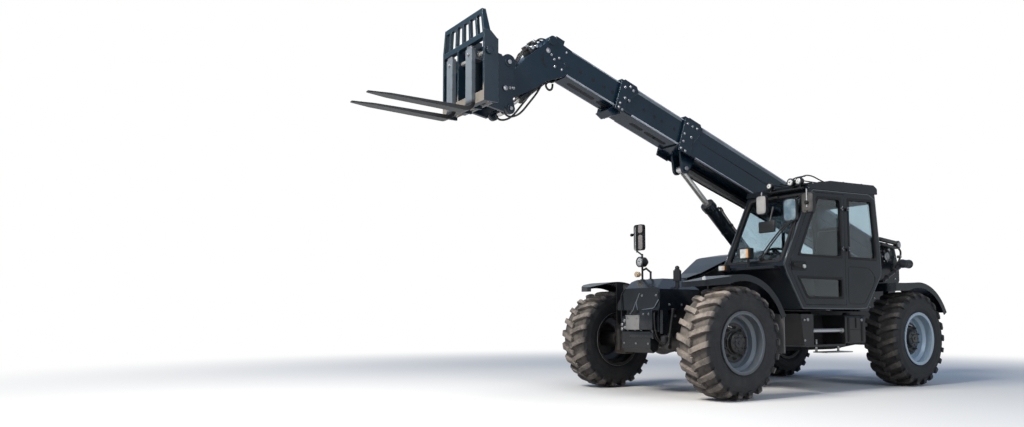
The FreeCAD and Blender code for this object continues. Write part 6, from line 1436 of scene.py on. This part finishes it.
for y in (-0.345, 0.365):
    form.turned((2.0, y, 0.56), (-0.2, 0, 1), [(0, 0.018), (0.02, 0.028), (0.16, 0.028), (0.162, 0.016), (0.42, 0.016), (0.44, 0.024),
                                            (0.46, 0.024), (0.46, 0)], 16)
    form.turned((2.0, y - 0.03, 0.57), (0, 1, 0), [(0, 0.03), (0.06, 0.03)], 16)
form.turned((2.02, 0.33, 0.66), (0, 0, 1), [(-0.05, 0.03), (-0.03, 0.045), (0.02, 0.045), (0.04, 0.03), (0.05, 0)], 20)
piece("nose_struts", form, "chassis", "cast_grey", frame_paint)

pipes("nose_pipes", "chassis", hose_rubber, 0.011,
      [[(1.98, y, 0.98), (2.08, y, 1.0), (2.1, y, 0.93), (2.08, y, 0.72), (2.0, y, 0.62), (1.9, y, 0.6)]
       for y in (0.16, 0.2, 0.24)]
      + [[(1.5, -0.41, 1.02), (1.7, -0.425, 1.0), (1.9, -0.425, 0.98), (2.02, -0.4, 0.9), (2.03, -0.35, 0.8)]])
pipes("frame_pipes", "chassis", hose_rubber, 0.01,
      [[(-1.9, 0.29 + dy, 0.93 - dz), (-1.0, 0.29 + dy, 0.9 - dz), (-0.9, 0.29 + dy, 0.62 - dz), (0.9, 0.29 + dy, 0.62 - dz),
        (1.1, 0.29 + dy, 0.85 - dz), (1.5, 0.29 + dy, 0.93 - dz)] for dy, dz in ((0.0, 0.0), (0.0, 0.03), (0.0, 0.06))])
pipes("tower_hoses", "chassis", hose_rubber, 0.016,
      [[(-2.3, side * y, 1.0), (-2.36, side * y, 1.22), (-2.5, side * (y + 0.03), 1.3),
        (-2.66, side * 0.19, 1.3 + y * 0.2), (-2.7, side * 0.24, 1.3 + y * 0.2)] for side in SIDES for y in (0.04, 0.08, 0.12)])
form = Form()
for side in SIDES:
    for x in (-1.9, -1.75, -1.2, -0.7, 0.2, 0.75, 1.2, 1.5, 1.8):
        form.bolt((x, side * 0.28, 0.93), (0, side, 0), 0.013)
    for x in (-1.1, -0.55, 0.45, 1.0):
        form.bolt((x, side * 0.28, 0.53), (0, side, 0), 0.013)
    form.turned((-1.1, side * 0.279, 0.612), (0, side, 0), [(0, 0.055), (0.01, 0.055), (0.014, 0.045), (0.014, 0.03),
                                                            (0.02, 0.026), (0.02, 0)], 24)
piece("frame_bolts", form, "chassis", "bright_steel", zinc)

form = Form()
for side in SIDES:
    form.block((-2.862, side * 0.3, 0.83), (0.012, 0.14, 0.07), 0.008)
    for dz in (-0.1, 0.1):
        form.bolt((-2.86, side * 0.36, 0.66 + dz * 0.6), (-1, 0, 0), 0.013)
form.turned((-2.925, 0.0, 0.7), (0, 0, -1), [(-0.03, 0.026), (-0.012, 0.026), (-0.01, 0.014), (0.2, 0.014), (0.21, 0)], 16)
piece("drawbar_fittings", form, "chassis", "cast_grey", steel)
form = Form()
for side in SIDES:
    form.block((-2.8695, side * 0.3, 0.83), (0.006, 0.12, 0.05), 0.002)
piece("tail_lights", form, "chassis", "clear_glass", red_lens)
print("frame and nose dressed")
